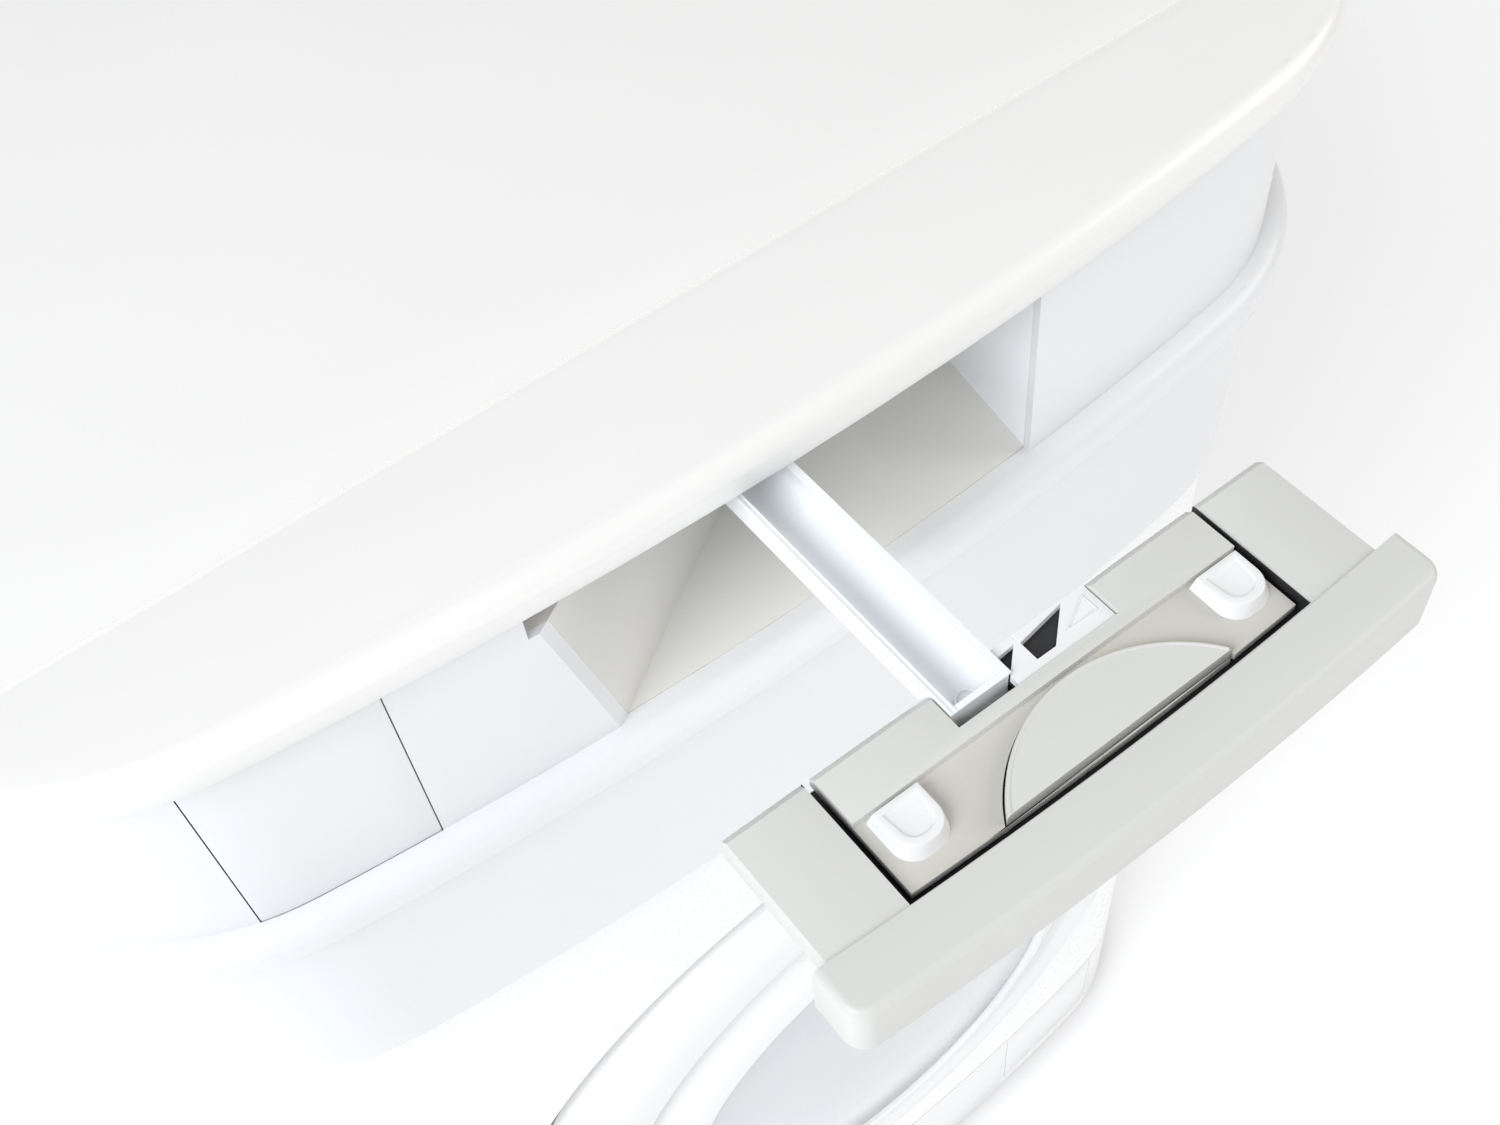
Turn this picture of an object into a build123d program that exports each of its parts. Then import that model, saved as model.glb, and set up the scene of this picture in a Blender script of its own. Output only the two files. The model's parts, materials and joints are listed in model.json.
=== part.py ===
from build123d import *
import os
from math import asin, atan, cos, degrees, radians, sin, sqrt

# Free-standing front-loading washing machine, in millimetres.
# +X is the machine's right seen from the front, +Y runs towards the rear, +Z is up.
# The floor is z = 0. Depths given to the helpers are measured back from the front
# edge of the lid at its middle. The detergent drawer is modelled pulled out.

os.makedirs("parts", exist_ok=True)

# ---- driving dimensions -------------------------------------------------------
HEIGHT = 850.0
HALF_WIDTH = 300.0
DEPTH = 600.0
BOW = 1620.0              # radius of the bowed fronts, seen from above
DRAWER_REACH = 148.0      # how far the open drawer stands out in front of the lid
FRONT = (DRAWER_REACH - DEPTH) / 2

LID_THICKNESS = 20.0
LID_LOW = HEIGHT - LID_THICKNESS
LID_LEAN = 3.75           # the lid's edge leans out by this much
LID_CORNER = 110.0

BAND_HALF = 290.0         # fascia band under the lid
BAND_FRONT = 11.5
BAND_CORNER = 104.5
RIDGE_HALF = 297.5        # rounded ridge below the band
RIDGE_FRONT = 1.5
RIDGE_CORNER = 110.0
RIDGE_TOP = LID_LOW - 92.0
RIDGE_LOW = RIDGE_TOP - 16.0
SKIRT_LOW = LID_LOW - 211.0
SKIRT_HALF = 279.6        # lower edge of the console
SKIRT_FRONT = 8.7
SKIRT_CORNER = 97.0
WALL = 3.0                # console wall

BODY_HALF = 276.0         # steel cabinet
BODY_FRONT = 13.0
BODY_CORNER = 93.0
SHEET = 1.2
BODY_TOP = SKIRT_LOW + 20.0
CORNER_END = 125.0        # depth where the front panel meets the side sheets
REAR = 586.0              # depth of the rear panel

OPENING_LEFT = -108.5     # drawer recess in the band
OPENING_RIGHT = 95.5
OPENING_FOOT_LEFT = -87.5
SLOT_LOW = LID_LOW - 20.5
RECESS_DEPTH = 66.0

FLAP_LEFT = -217.3        # control flap in the band
FLAP_RIGHT = -154.5
FLAP_GAP = 0.4

WING_TOP = LID_LOW - 6.0
WING_LEFT = -106.0
WING_RIGHT = 94.0
DRAWER_BACK = -81.0
BAR_LOW = LID_LOW - 26.0
WING_LOW = LID_LOW - 18.0

AXIS_Z = 345.0            # drum axis height
TUB_R = 235.0
DRUM_R = 215.0
DRUM_FRONT = 100.0
DRUM_BACK = 400.0
SHAFT_R = 15.0
MOUTH_R = 158.0           # door hole in the front panel
MOTOR_X = 172.0
MOTOR_Z = 112.0
PUMP_X = 165.0
PUMP_Z = 70.0
FOOT_X = 222.0
FOOT_DEPTHS = (95.0, 540.0)
TRAY_LOW = 35.0


# ---- helpers ------------------------------------------------------------------
def bow_at(x, front, radius=BOW):
    """Depth of a bowed front at distance x from the middle."""
    return front + radius - sqrt(radius**2 - x**2)


def bowed_outline(half_width, corner, front, rear=DEPTH - 10, rear_corner=3.0):
    """Plan outline in the current sketch: bowed front, round corners, straight sides."""
    side = FRONT + bow_at(half_width, front)
    back = FRONT + rear
    with BuildLine() as edge:
        ThreePointArc((-half_width, side), (0, FRONT + front), (half_width, side))
        Polyline((half_width, side), (half_width, back), (-half_width, back), (-half_width, side))
    make_face(edge.edges())
    fillet(vertices().group_by(Axis.Y)[0], corner)
    fillet(vertices().group_by(Axis.Y)[-1], rear_corner)


def block(xs, depths, zs, mode=Mode.ADD):
    """Box between two x values, two depths and two heights."""
    middle = ((xs[0] + xs[1]) / 2, FRONT + (depths[0] + depths[1]) / 2, (zs[0] + zs[1]) / 2)
    with Locations(middle):
        Box(xs[1] - xs[0], depths[1] - depths[0], zs[1] - zs[0], mode=mode)


def post(x, depth, zs, radius, mode=Mode.ADD):
    """Upright cylinder."""
    with Locations((x, FRONT + depth, (zs[0] + zs[1]) / 2)):
        Cylinder(radius, zs[1] - zs[0], mode=mode)


def bar(x, z, depths, radius, mode=Mode.ADD):
    """Cylinder that runs front to back."""
    with BuildSketch(Plane(origin=(x, FRONT + depths[0], z), x_dir=(1, 0, 0), z_dir=(0, 1, 0))) as section:
        Circle(radius)
    extrude(section.sketch, amount=depths[1] - depths[0], mode=mode)


def turned(outline, x=0.0, z=AXIS_Z, mode=Mode.ADD):
    """Closed (depth, radius) outline, turned about a line that runs front to back."""
    origin = (x, FRONT, z)
    with BuildSketch(Plane(origin=origin, x_dir=(0, 1, 0), z_dir=(1, 0, 0))) as section:
        with BuildLine():
            Polyline(*outline, close=True)
        make_face()
    revolve(section.sketch, axis=Axis(origin, (0, 1, 0)), mode=mode)


def ring(depths, inner, outer, x=0.0, z=AXIS_Z, mode=Mode.ADD):
    """Flat ring or sleeve about a line that runs front to back."""
    turned([(depths[0], inner), (depths[0], outer), (depths[1], outer), (depths[1], inner)], x, z, mode)


def front_prism(points, depths, mode=Mode.ADD):
    """Outline in x and z, pushed back between two depths."""
    with BuildSketch(Plane(origin=(0, FRONT + depths[0], 0), x_dir=(1, 0, 0), z_dir=(0, -1, 0))) as section:
        with BuildLine():
            Polyline(*points, close=True)
        make_face()
    extrude(section.sketch, amount=depths[0] - depths[1], mode=mode)


def side_prism(points, xs, mode=Mode.ADD):
    """Outline in depth and z, pushed across between two x values."""
    with BuildSketch(Plane(origin=(xs[0], FRONT, 0), x_dir=(0, 1, 0), z_dir=(1, 0, 0))) as section:
        with BuildLine():
            Polyline(*points, close=True)
        make_face()
    extrude(section.sketch, amount=xs[1] - xs[0], mode=mode)


def hose(points, bends, outer, inner=0.0):
    """Straight runs joined by tangent arcs, with a round section."""
    places = [(x, FRONT + depth, z) for x, depth, z in points]
    with BuildLine() as route:
        FilletPolyline(*places, radius=bends)
    with BuildSketch(Plane(origin=route.line @ 0, z_dir=route.line % 0)) as section:
        Circle(outer)
        if inner:
            Circle(inner, mode=Mode.SUBTRACT)
    sweep(section.sketch, path=route.line)


def finish(piece, name):
    """Label a finished piece and write it."""
    piece.part.label = name
    export_step(piece.part, f"parts/{name}.step")


# ---- worktop lid --------------------------------------------------------------
LID_ROLL = 7.0
REAR_ROUND = 18.0
LID_WALL = 5.0
CREASE_DEPTH = 66.0

with BuildPart() as worktop:
    with BuildSketch(Plane.XY.offset(LID_LOW)) as low_edge:
        bowed_outline(HALF_WIDTH - LID_LEAN, LID_CORNER - LID_LEAN, LID_LEAN, DEPTH - LID_LEAN, REAR_ROUND)
    with BuildSketch(Plane.XY.offset(HEIGHT - LID_ROLL - 0.5)) as high_edge:
        bowed_outline(HALF_WIDTH, LID_CORNER, 0, DEPTH, REAR_ROUND)
    loft([low_edge.sketch, high_edge.sketch])
    extrude(high_edge.sketch, amount=LID_ROLL + 0.5)
    fillet(edges().group_by(Axis.Z)[-1], LID_ROLL)
    with BuildSketch(Plane.XY.offset(LID_LOW)) as underside:
        bowed_outline(HALF_WIDTH - 14, LID_CORNER - 14, 14, DEPTH - 14)
    extrude(underside.sketch, amount=LID_THICKNESS - LID_WALL, mode=Mode.SUBTRACT)
    crease = (CREASE_DEPTH, CREASE_DEPTH + 2)
    block((-HALF_WIDTH + 20, HALF_WIDTH - 20), crease, (HEIGHT - 0.4, HEIGHT + 1), mode=Mode.SUBTRACT)
finish(worktop, "worktop")

# ---- console hood -------------------------------------------------------------
RIDGE_ROLL = 7.0
SKIRT_TOP_HALF = 289.0
SKIRT_TOP_FRONT = 7.5
THROUGH = DEPTH + 40      # an inner outline that opens the hood at the rear


def skirt(inset, rear, mode=Mode.ADD):
    """Lower part of the hood, drawn in by inset."""
    with BuildSketch(Plane.XY.offset(SKIRT_LOW)) as low:
        bowed_outline(SKIRT_HALF - inset, SKIRT_CORNER - inset, SKIRT_FRONT + inset, rear)
    with BuildSketch(Plane.XY.offset(RIDGE_LOW)) as high:
        bowed_outline(SKIRT_TOP_HALF - inset, BAND_CORNER - inset, SKIRT_TOP_FRONT + inset, rear)
    loft([low.sketch, high.sketch], mode=mode)


RECESS_START = 14.0
FOOT_BACK_LEFT = 4.0      # where the recess's slanting left wall ends, at the floor
HEAD_BACK_LEFT = -12.0    # and at the slot


def recess_level(z, left_front, left_back, grow, start):
    """One level of the recess, seen from above, with a slanting left wall."""
    slope = (left_back - left_front) / (RECESS_DEPTH - RECESS_START)
    left_start = left_front - slope * (RECESS_START - start)
    with BuildSketch(Plane.XY.offset(z)) as level:
        with BuildLine():
            Polyline(
                (left_start - grow, FRONT + start),
                (OPENING_RIGHT + grow, FRONT + start),
                (OPENING_RIGHT + grow, FRONT + RECESS_DEPTH + grow),
                (left_back - grow, FRONT + RECESS_DEPTH + grow),
                close=True,
            )
        make_face()
    return level.sketch


def recess_room(grow, start=RECESS_START):
    """Tapering lower part of the recess, grown by a wall."""
    foot = recess_level(RIDGE_TOP - grow, OPENING_FOOT_LEFT, FOOT_BACK_LEFT, grow, start)
    head = recess_level(SLOT_LOW, OPENING_LEFT + 2, HEAD_BACK_LEFT, grow, start)
    return loft([foot, head], mode=Mode.PRIVATE)


with BuildPart() as console:
    with BuildSketch(Plane.XY.offset(RIDGE_LOW)):
        bowed_outline(RIDGE_HALF, RIDGE_CORNER, RIDGE_FRONT)
    extrude(amount=RIDGE_TOP - RIDGE_LOW)
    fillet(edges().group_by(Axis.Z)[-1], RIDGE_ROLL)
    fillet(edges().group_by(Axis.Z)[0], RIDGE_ROLL / 2)
    with BuildSketch(Plane.XY.offset(RIDGE_TOP - 2)):
        bowed_outline(BAND_HALF, BAND_CORNER, BAND_FRONT)
    extrude(amount=LID_LOW - RIDGE_TOP + 2)
    skirt(0, DEPTH - 10)
    skirt(WALL, THROUGH, Mode.SUBTRACT)
    with BuildSketch(Plane.XY.offset(RIDGE_LOW)):
        bowed_outline(BAND_HALF - WALL, BAND_CORNER - WALL, BAND_FRONT + WALL, THROUGH)
    extrude(amount=LID_LOW - RIDGE_LOW, mode=Mode.SUBTRACT)
    add(recess_room(0, 0), mode=Mode.SUBTRACT)
    block((OPENING_LEFT, OPENING_RIGHT), (0, RECESS_DEPTH), (SLOT_LOW - 0.1, LID_LOW + 5), mode=Mode.SUBTRACT)
    block((FLAP_LEFT, FLAP_RIGHT), (0, 45), (RIDGE_TOP, LID_LOW + 5), mode=Mode.SUBTRACT)
    with BuildSketch(Plane.XY.offset(RIDGE_TOP - 5)) as rebate:
        bowed_outline(BAND_HALF, BAND_CORNER, BAND_FRONT)
        with Locations(((FLAP_LEFT + FLAP_RIGHT) / 2, FRONT)):
            Rectangle(FLAP_RIGHT - FLAP_LEFT, 90, mode=Mode.INTERSECT)
    extrude(rebate.sketch, amount=5.5, mode=Mode.SUBTRACT)
finish(console, "console")

# ---- recess that the drawer slides into ---------------------------------------
TRAY_WALL = 2.5
FLOOR_RISE = 14.0
TROUGH_LEFT = -35.0
TROUGH_RIGHT = -14.0
TROUGH_TOP = WING_TOP
TROUGH_LOW = WING_TOP - 13.0

with BuildPart() as drawer_recess:
    add(recess_room(TRAY_WALL))
    left, right = OPENING_LEFT - TRAY_WALL, OPENING_RIGHT + TRAY_WALL
    block((left, right), (RECESS_START, RECESS_DEPTH + TRAY_WALL), (SLOT_LOW - TRAY_WALL, LID_LOW - 1))
    add(recess_room(0), mode=Mode.SUBTRACT)
    back = RECESS_DEPTH + 0.5
    floor_low = RIDGE_TOP - 2
    ramp = [(RECESS_START, floor_low), (back, floor_low), (back, RIDGE_TOP + FLOOR_RISE)]
    side_prism(ramp + [(RECESS_START, RIDGE_TOP)], (OPENING_FOOT_LEFT, OPENING_RIGHT + 0.5))
    inner = (OPENING_LEFT, OPENING_RIGHT)
    block(inner, (RECESS_START - 1, RECESS_DEPTH), (SLOT_LOW, LID_LOW), mode=Mode.SUBTRACT)
    passage = (TROUGH_LEFT - 1.5, TROUGH_RIGHT + 1.5)
    block(passage, (RECESS_DEPTH - 1, RECESS_DEPTH + 5), (TROUGH_LOW - 1.5, LID_LOW), mode=Mode.SUBTRACT)
    with BuildSketch(Plane.XY.offset(RIDGE_TOP - 10)) as behind_band:
        bowed_outline(BAND_HALF - WALL, BAND_CORNER - WALL, BAND_FRONT + WALL + 0.1, THROUGH)
    extrude(behind_band.sketch, amount=LID_LOW - RIDGE_TOP + 10, mode=Mode.INTERSECT)
    below = (RIDGE_TOP - 10, RIDGE_TOP - TRAY_WALL)
    block((OPENING_LEFT - 5, left + 90), (0, RECESS_DEPTH + 5), below, mode=Mode.SUBTRACT)
finish(drawer_recess, "drawer_recess")

HOUSING_BACK = 256.0
with BuildPart() as dispenser_housing:
    block((-62, 40), (RECESS_DEPTH + TRAY_WALL, HOUSING_BACK), (760, LID_LOW - 1))
    block((-60, 38), (RECESS_DEPTH + TRAY_WALL - 1, HOUSING_BACK - 2), (762, LID_LOW - 3), mode=Mode.SUBTRACT)
    bar(-24.5, 772, (HOUSING_BACK - 2, HOUSING_BACK + 22), 9)
    bar(-24.5, 772, (HOUSING_BACK - 5, HOUSING_BACK + 25), 7, mode=Mode.SUBTRACT)
    for side in (TROUGH_LEFT - 3.4, TROUGH_RIGHT + 0.4):
        rail = (RECESS_DEPTH + TRAY_WALL + 1, HOUSING_BACK - 4)
        block((side, side + 3), rail, (TROUGH_LOW - 5, TROUGH_TOP - 3))
    cross = (TROUGH_LEFT - 3.4, TROUGH_RIGHT + 3.4)
    for depth in (90, 160, 230):
        block(cross, (depth, depth + 8), (TROUGH_LOW - 5, TROUGH_LOW - 1))
        block((-28, -21), (depth, depth + 8), (761, TROUGH_LOW - 4))
finish(dispenser_housing, "dispenser_housing")

# ---- detergent drawer, pulled out ---------------------------------------------
BAR_TOP = WING_TOP + 2.0
BAR_LEFT = -111.0
BAR_RIGHT = 103.0
BAR_DEPTH = 18.0
WELL_LEFT = -79.6         # well that takes the insert
WELL_RIGHT = 67.7
WELL_FRONT = -129.0
INSERT_LEFT = -76.4
INSERT_RIGHT = 65.0
INSERT_FRONT = -125.6
NOTCH_LEFT = -35.6
NOTCH_RIGHT = 23.8
NOTCH_FRONT = -95.5
STEP_DEPTH = -100.0
PANEL_TOP = WING_TOP - 3.0
TROUGH_FRONT = -91.4
TROUGH_BACK = 105.0
EDGE_BEVEL = 2.6
WELL_FLOOR = WING_LOW + 2.0


def bowed_strip(xs, front, back, zs, mode=Mode.ADD, end_round=0.0):
    """Strip whose front and back edges follow the bow of the machine's front."""
    middle = (xs[0] + xs[1]) / 2
    half = (xs[1] - xs[0]) / 2
    with BuildSketch(Plane.XY.offset(zs[0])) as section:
        with BuildLine():
            near = FRONT + bow_at(half, front)
            far = FRONT + bow_at(half, back)
            ThreePointArc((xs[0], near), (middle, FRONT + front), (xs[1], near))
            Line((xs[1], near), (xs[1], far))
            ThreePointArc((xs[1], far), (middle, FRONT + back), (xs[0], far))
            Line((xs[0], far), (xs[0], near))
        make_face()
        if end_round:
            fillet(vertices().group_by(Axis.Y)[0], end_round)
    extrude(section.sketch, amount=zs[1] - zs[0], mode=mode)


with BuildPart() as drawer_front:
    block((WING_LEFT, WING_RIGHT), (-132, DRAWER_BACK), (WING_LOW, WING_TOP))
    back_edge = edges().group_by(Axis.Y)[-1].filter_by(Axis.X).sort_by(Axis.Z)[-1]
    chamfer(back_edge, EDGE_BEVEL)
    bar_back = -DRAWER_REACH + BAR_DEPTH
    bowed_strip((BAR_LEFT, BAR_RIGHT), -DRAWER_REACH, bar_back, (BAR_LOW, BAR_TOP), end_round=7)
    fillet(edges().group_by(Axis.Z)[-1].group_by(Axis.Y)[0], 2.8)
    well = (WELL_LEFT, WELL_RIGHT)
    bowed_strip(well, WELL_FRONT, DRAWER_BACK + 5, (WELL_FLOOR, BAR_TOP + 5), Mode.SUBTRACT)
    channel = (TROUGH_LEFT - 0.3, TROUGH_RIGHT + 0.3)
    block(channel, (TROUGH_FRONT - 0.3, DRAWER_BACK + 5), (WING_LOW - 1, WELL_FLOOR + 1), mode=Mode.SUBTRACT)
finish(drawer_front, "drawer_front")

PRESS_MIDDLE = -2.5
PRESS_HALF = 41.5
PRESS_CHORD = -124.4
PRESS_REACH = 22.6
PRESS_R = (PRESS_HALF**2 + PRESS_REACH**2) / (2 * PRESS_REACH)
CLIP_SIZE = 18.0
CLIP_LEFTS = (-73.0, 46.0)
CLIP_DEPTH = -101.0
INSERT_LOW = WING_TOP - 6.0


def press_outline(grow):
    """Half-moon with a straight front edge, in the current sketch."""
    crown = FRONT + PRESS_CHORD + PRESS_REACH
    with Locations((PRESS_MIDDLE, crown - PRESS_R)):
        Circle(PRESS_R + grow)
    cut = 2 * PRESS_R
    with Locations((PRESS_MIDDLE, FRONT + PRESS_CHORD - grow - cut / 2)):
        Rectangle(3 * PRESS_R, cut, mode=Mode.SUBTRACT)


with BuildPart() as drawer_insert:
    bowed_strip((INSERT_LEFT, INSERT_RIGHT), INSERT_FRONT, DRAWER_BACK - 0.6, (INSERT_LOW, WING_TOP))
    past_back = (DRAWER_BACK, DRAWER_BACK + 10)
    block((INSERT_LEFT, INSERT_RIGHT), past_back, (INSERT_LOW, WING_TOP), mode=Mode.SUBTRACT)
    back_edges = edges().group_by(Axis.Y)[-1].filter_by(Axis.X).sort_by(Axis.Z)
    chamfer(back_edges[-1], EDGE_BEVEL)
    lowered = (PANEL_TOP, WING_TOP + 5)
    block((INSERT_LEFT - 5, INSERT_RIGHT + 5), (-140, STEP_DEPTH), lowered, mode=Mode.SUBTRACT)
    notch = (NOTCH_LEFT, NOTCH_RIGHT)
    block(notch, (NOTCH_FRONT, DRAWER_BACK + 5), (INSERT_LOW, WING_TOP + 5), mode=Mode.SUBTRACT)
    with BuildSketch(Plane.XY.offset(INSERT_LOW)):
        press_outline(0.6)
    extrude(amount=20, mode=Mode.SUBTRACT)
finish(drawer_insert, "drawer_insert")

with BuildPart() as release_press:
    with BuildSketch(Plane.XY.offset(INSERT_LOW - 0.5)):
        press_outline(0)
    extrude(amount=WING_TOP + 0.6 - INSERT_LOW + 0.5)
    fillet(edges().group_by(Axis.Z)[-1].filter_by(GeomType.CIRCLE), 1.6)
finish(release_press, "release_press")

with BuildPart() as insert_clips:
    for left in CLIP_LEFTS:
        middle = (left + CLIP_SIZE / 2, FRONT + CLIP_DEPTH - CLIP_SIZE / 2)
        with BuildSketch(Plane.XY.offset(PANEL_TOP)):
            with Locations(middle):
                Rectangle(CLIP_SIZE, CLIP_SIZE)
            fillet(vertices().group_by(Axis.Y)[0], 7)
        extrude(amount=4.2)
    fillet(edges().group_by(Axis.Z)[-1], 1.2)
    for left in CLIP_LEFTS:
        with BuildSketch(Plane.XY.offset(PANEL_TOP + 3.4)):
            with Locations((left + CLIP_SIZE / 2 + 1.5, FRONT + CLIP_DEPTH - CLIP_SIZE / 2 + 0.5)):
                RectangleRounded(10, 10, 2)
        extrude(amount=5, mode=Mode.SUBTRACT)
finish(insert_clips, "insert_clips")

TROUGH_WALL = 1.5
with BuildPart() as detergent_trough:
    width = TROUGH_RIGHT - TROUGH_LEFT
    middle = (TROUGH_LEFT + TROUGH_RIGHT) / 2
    block((TROUGH_LEFT, TROUGH_RIGHT), (TROUGH_FRONT, TROUGH_BACK), (TROUGH_LOW, TROUGH_TOP))
    fillet(edges().filter_by(Axis.Y).group_by(Axis.Z)[0], 5)
    hollow_r = width / 2 - TROUGH_WALL
    run = (TROUGH_FRONT + 2, TROUGH_BACK - 2)
    bar(middle, TROUGH_LOW + TROUGH_WALL + hollow_r, run, hollow_r, mode=Mode.SUBTRACT)
    above = (TROUGH_LOW + TROUGH_WALL + hollow_r, TROUGH_TOP + 5)
    block((TROUGH_LEFT + TROUGH_WALL, TROUGH_RIGHT - TROUGH_WALL), run, above, mode=Mode.SUBTRACT)
finish(detergent_trough, "detergent_trough")

with BuildPart() as trough_bracket:
    inner = (WELL_FLOOR + 0.1, WING_TOP - 0.6)
    block((TROUGH_RIGHT + 0.1, NOTCH_RIGHT - 0.6), (NOTCH_FRONT + 0.6, NOTCH_FRONT + 2.6), inner)
    block((14, NOTCH_RIGHT - 0.6), (NOTCH_FRONT + 0.6, DRAWER_BACK - 0.6), (PANEL_TOP - 2, WING_TOP - 0.6))
    for rib in (-5, 14):
        block((rib, rib + 1.6), (NOTCH_FRONT + 0.6, DRAWER_BACK - 0.6), (inner[0], WING_TOP - 2.5))
    block((TROUGH_RIGHT + 0.1, 15), (DRAWER_BACK - 2, DRAWER_BACK - 0.6), (inner[0], inner[0] + 6))
finish(trough_bracket, "trough_bracket")

# ---- controls behind the flap -------------------------------------------------
HINGE_Z = RIDGE_TOP + 7.0
HINGE_R = 1.2
KNUCKLE = 3.9
LUG = 2.0
FLAP_SKIN = 2.5
PANEL_DEPTH = 56.0
KEY_HEIGHTS = {"option_key": 762.0, "start_key": 777.0}
KNOB_Z = 805.0
CONTROL_X = (FLAP_LEFT + FLAP_RIGHT) / 2
FLAP_SIDES = (FLAP_LEFT + FLAP_GAP, FLAP_RIGHT - FLAP_GAP)
# the hinge line follows the chord of the rounded corner behind the flap
HINGE_ENDS = ((FLAP_LEFT + 1.5, 32.3), (FLAP_RIGHT - 1.5, 23.9))
HINGE_SPAN = HINGE_ENDS[1][0] - HINGE_ENDS[0][0]
HINGE_ANGLE = degrees(atan((HINGE_ENDS[1][1] - HINGE_ENDS[0][1]) / HINGE_SPAN))
HINGE_LENGTH = HINGE_SPAN / cos(radians(HINGE_ANGLE))
HINGE_X = (HINGE_ENDS[0][0] + HINGE_ENDS[1][0]) / 2
HINGE_Y = FRONT + (HINGE_ENDS[0][1] + HINGE_ENDS[1][1]) / 2


def hinge_rod(start, length, radius, mode=Mode.ADD):
    """Cylinder along the flap's hinge line, start measured from the line's middle."""
    turn = radians(HINGE_ANGLE)
    origin = (HINGE_X + start * cos(turn), HINGE_Y + start * sin(turn), HINGE_Z)
    with BuildSketch(Plane(origin=origin, z_dir=(cos(turn), sin(turn), 0))) as section:
        Circle(radius)
    extrude(section.sketch, amount=length, mode=mode)


with BuildPart() as control_flap:
    with BuildSketch(Plane.XY.offset(RIDGE_TOP + 0.5)):
        bowed_outline(BAND_HALF, BAND_CORNER, BAND_FRONT)
    extrude(amount=LID_LOW - 1 - RIDGE_TOP - 0.5)
    with BuildSketch(Plane.XY.offset(RIDGE_TOP)):
        bowed_outline(BAND_HALF - FLAP_SKIN, BAND_CORNER - FLAP_SKIN, BAND_FRONT + FLAP_SKIN, THROUGH)
    extrude(amount=HEIGHT - RIDGE_TOP, mode=Mode.SUBTRACT)
    block(FLAP_SIDES, (0, 45), (RIDGE_TOP + 0.5, LID_LOW - 1), mode=Mode.INTERSECT)
    hinge_rod(-HINGE_LENGTH / 2 + 7, HINGE_LENGTH - 14, KNUCKLE)
    hinge_rod(-HINGE_LENGTH / 2, HINGE_LENGTH, HINGE_R + 0.05, mode=Mode.SUBTRACT)
finish(control_flap, "control_flap")

with BuildPart() as control_panel:
    box = (FLAP_LEFT - 5, FLAP_RIGHT + 5)
    block(box, (36, PANEL_DEPTH + 3), (RIDGE_TOP - 3.5, LID_LOW - 1))
    room = (FLAP_LEFT - 3, FLAP_RIGHT + 3)
    block(room, (30, PANEL_DEPTH), (RIDGE_TOP - 1, LID_LOW - 3), mode=Mode.SUBTRACT)
    bar(CONTROL_X, KNOB_Z, (PANEL_DEPTH - 5, PANEL_DEPTH + 10), 3.05, mode=Mode.SUBTRACT)
    for height in KEY_HEIGHTS.values():
        window = (CONTROL_X - 12.4, CONTROL_X + 12.4)
        block(window, (50, 62), (height - 3.9, height + 3.9), mode=Mode.SUBTRACT)
    lugs = ((-HINGE_LENGTH / 2 + 2, 32, FLAP_LEFT + 3.6), (HINGE_LENGTH / 2 - 5, 24, FLAP_RIGHT - 6.4))
    for end, depth, x in lugs:
        hinge_rod(end, 3, LUG)
        block((x, x + 2.8), (depth, PANEL_DEPTH + 1), (HINGE_Z - 1.6, HINGE_Z + 1.6))
    hinge_rod(-HINGE_LENGTH / 2 + 1, HINGE_LENGTH - 2, HINGE_R, mode=Mode.SUBTRACT)
finish(control_panel, "control_panel")

with BuildPart() as programme_knob:
    bar(CONTROL_X, KNOB_Z, (PANEL_DEPTH - 10, PANEL_DEPTH - 0.5), 15)
    fillet(edges().group_by(Axis.Y)[0], 2)
    pointer = (CONTROL_X - 1, CONTROL_X + 1)
    block(pointer, (PANEL_DEPTH - 11, PANEL_DEPTH - 9), (KNOB_Z + 4, KNOB_Z + 16), mode=Mode.SUBTRACT)
    bar(CONTROL_X, KNOB_Z, (PANEL_DEPTH - 1, PANEL_DEPTH + 12), 3.0)
finish(programme_knob, "programme_knob")

for name, height in KEY_HEIGHTS.items():
    with BuildPart() as key:
        deep = (PANEL_DEPTH - 4, PANEL_DEPTH + 6)
        block((CONTROL_X - 12, CONTROL_X + 12), deep, (height - 3.5, height + 3.5))
        fillet(edges().group_by(Axis.Y)[0], 1)
    finish(key, name)

with BuildPart() as control_board:
    block((FLAP_LEFT - 2, FLAP_RIGHT + 2), (PANEL_DEPTH + 14, PANEL_DEPTH + 15.6), (745, 822))
    for x in (-205, -190, -175):
        block((x, x + 9), (PANEL_DEPTH + 15.6, PANEL_DEPTH + 24), (752, 776))
    post(-168, PANEL_DEPTH + 21.4, (790, 812), 6)
    bar(CONTROL_X, KNOB_Z, (PANEL_DEPTH + 12.5, PANEL_DEPTH + 14), 6)
finish(control_board, "control_board")

# ---- steel cabinet ------------------------------------------------------------
SEAT_R = 205.0            # round pressed seat for the door
PIVOT_X = -212.0          # door hinge
PIVOT_DEPTH = 6.0
KNUCKLE_LOWS = (AXIS_Z - 45, AXIS_Z + 33)
KNUCKLE_TALL = 12.0
SEAT_DEPTH = 29.0
HOOK_SLOT = (161.0, 184.0)
KICK_TOP = 98.0
PANEL_LOW = 100.0


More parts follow.
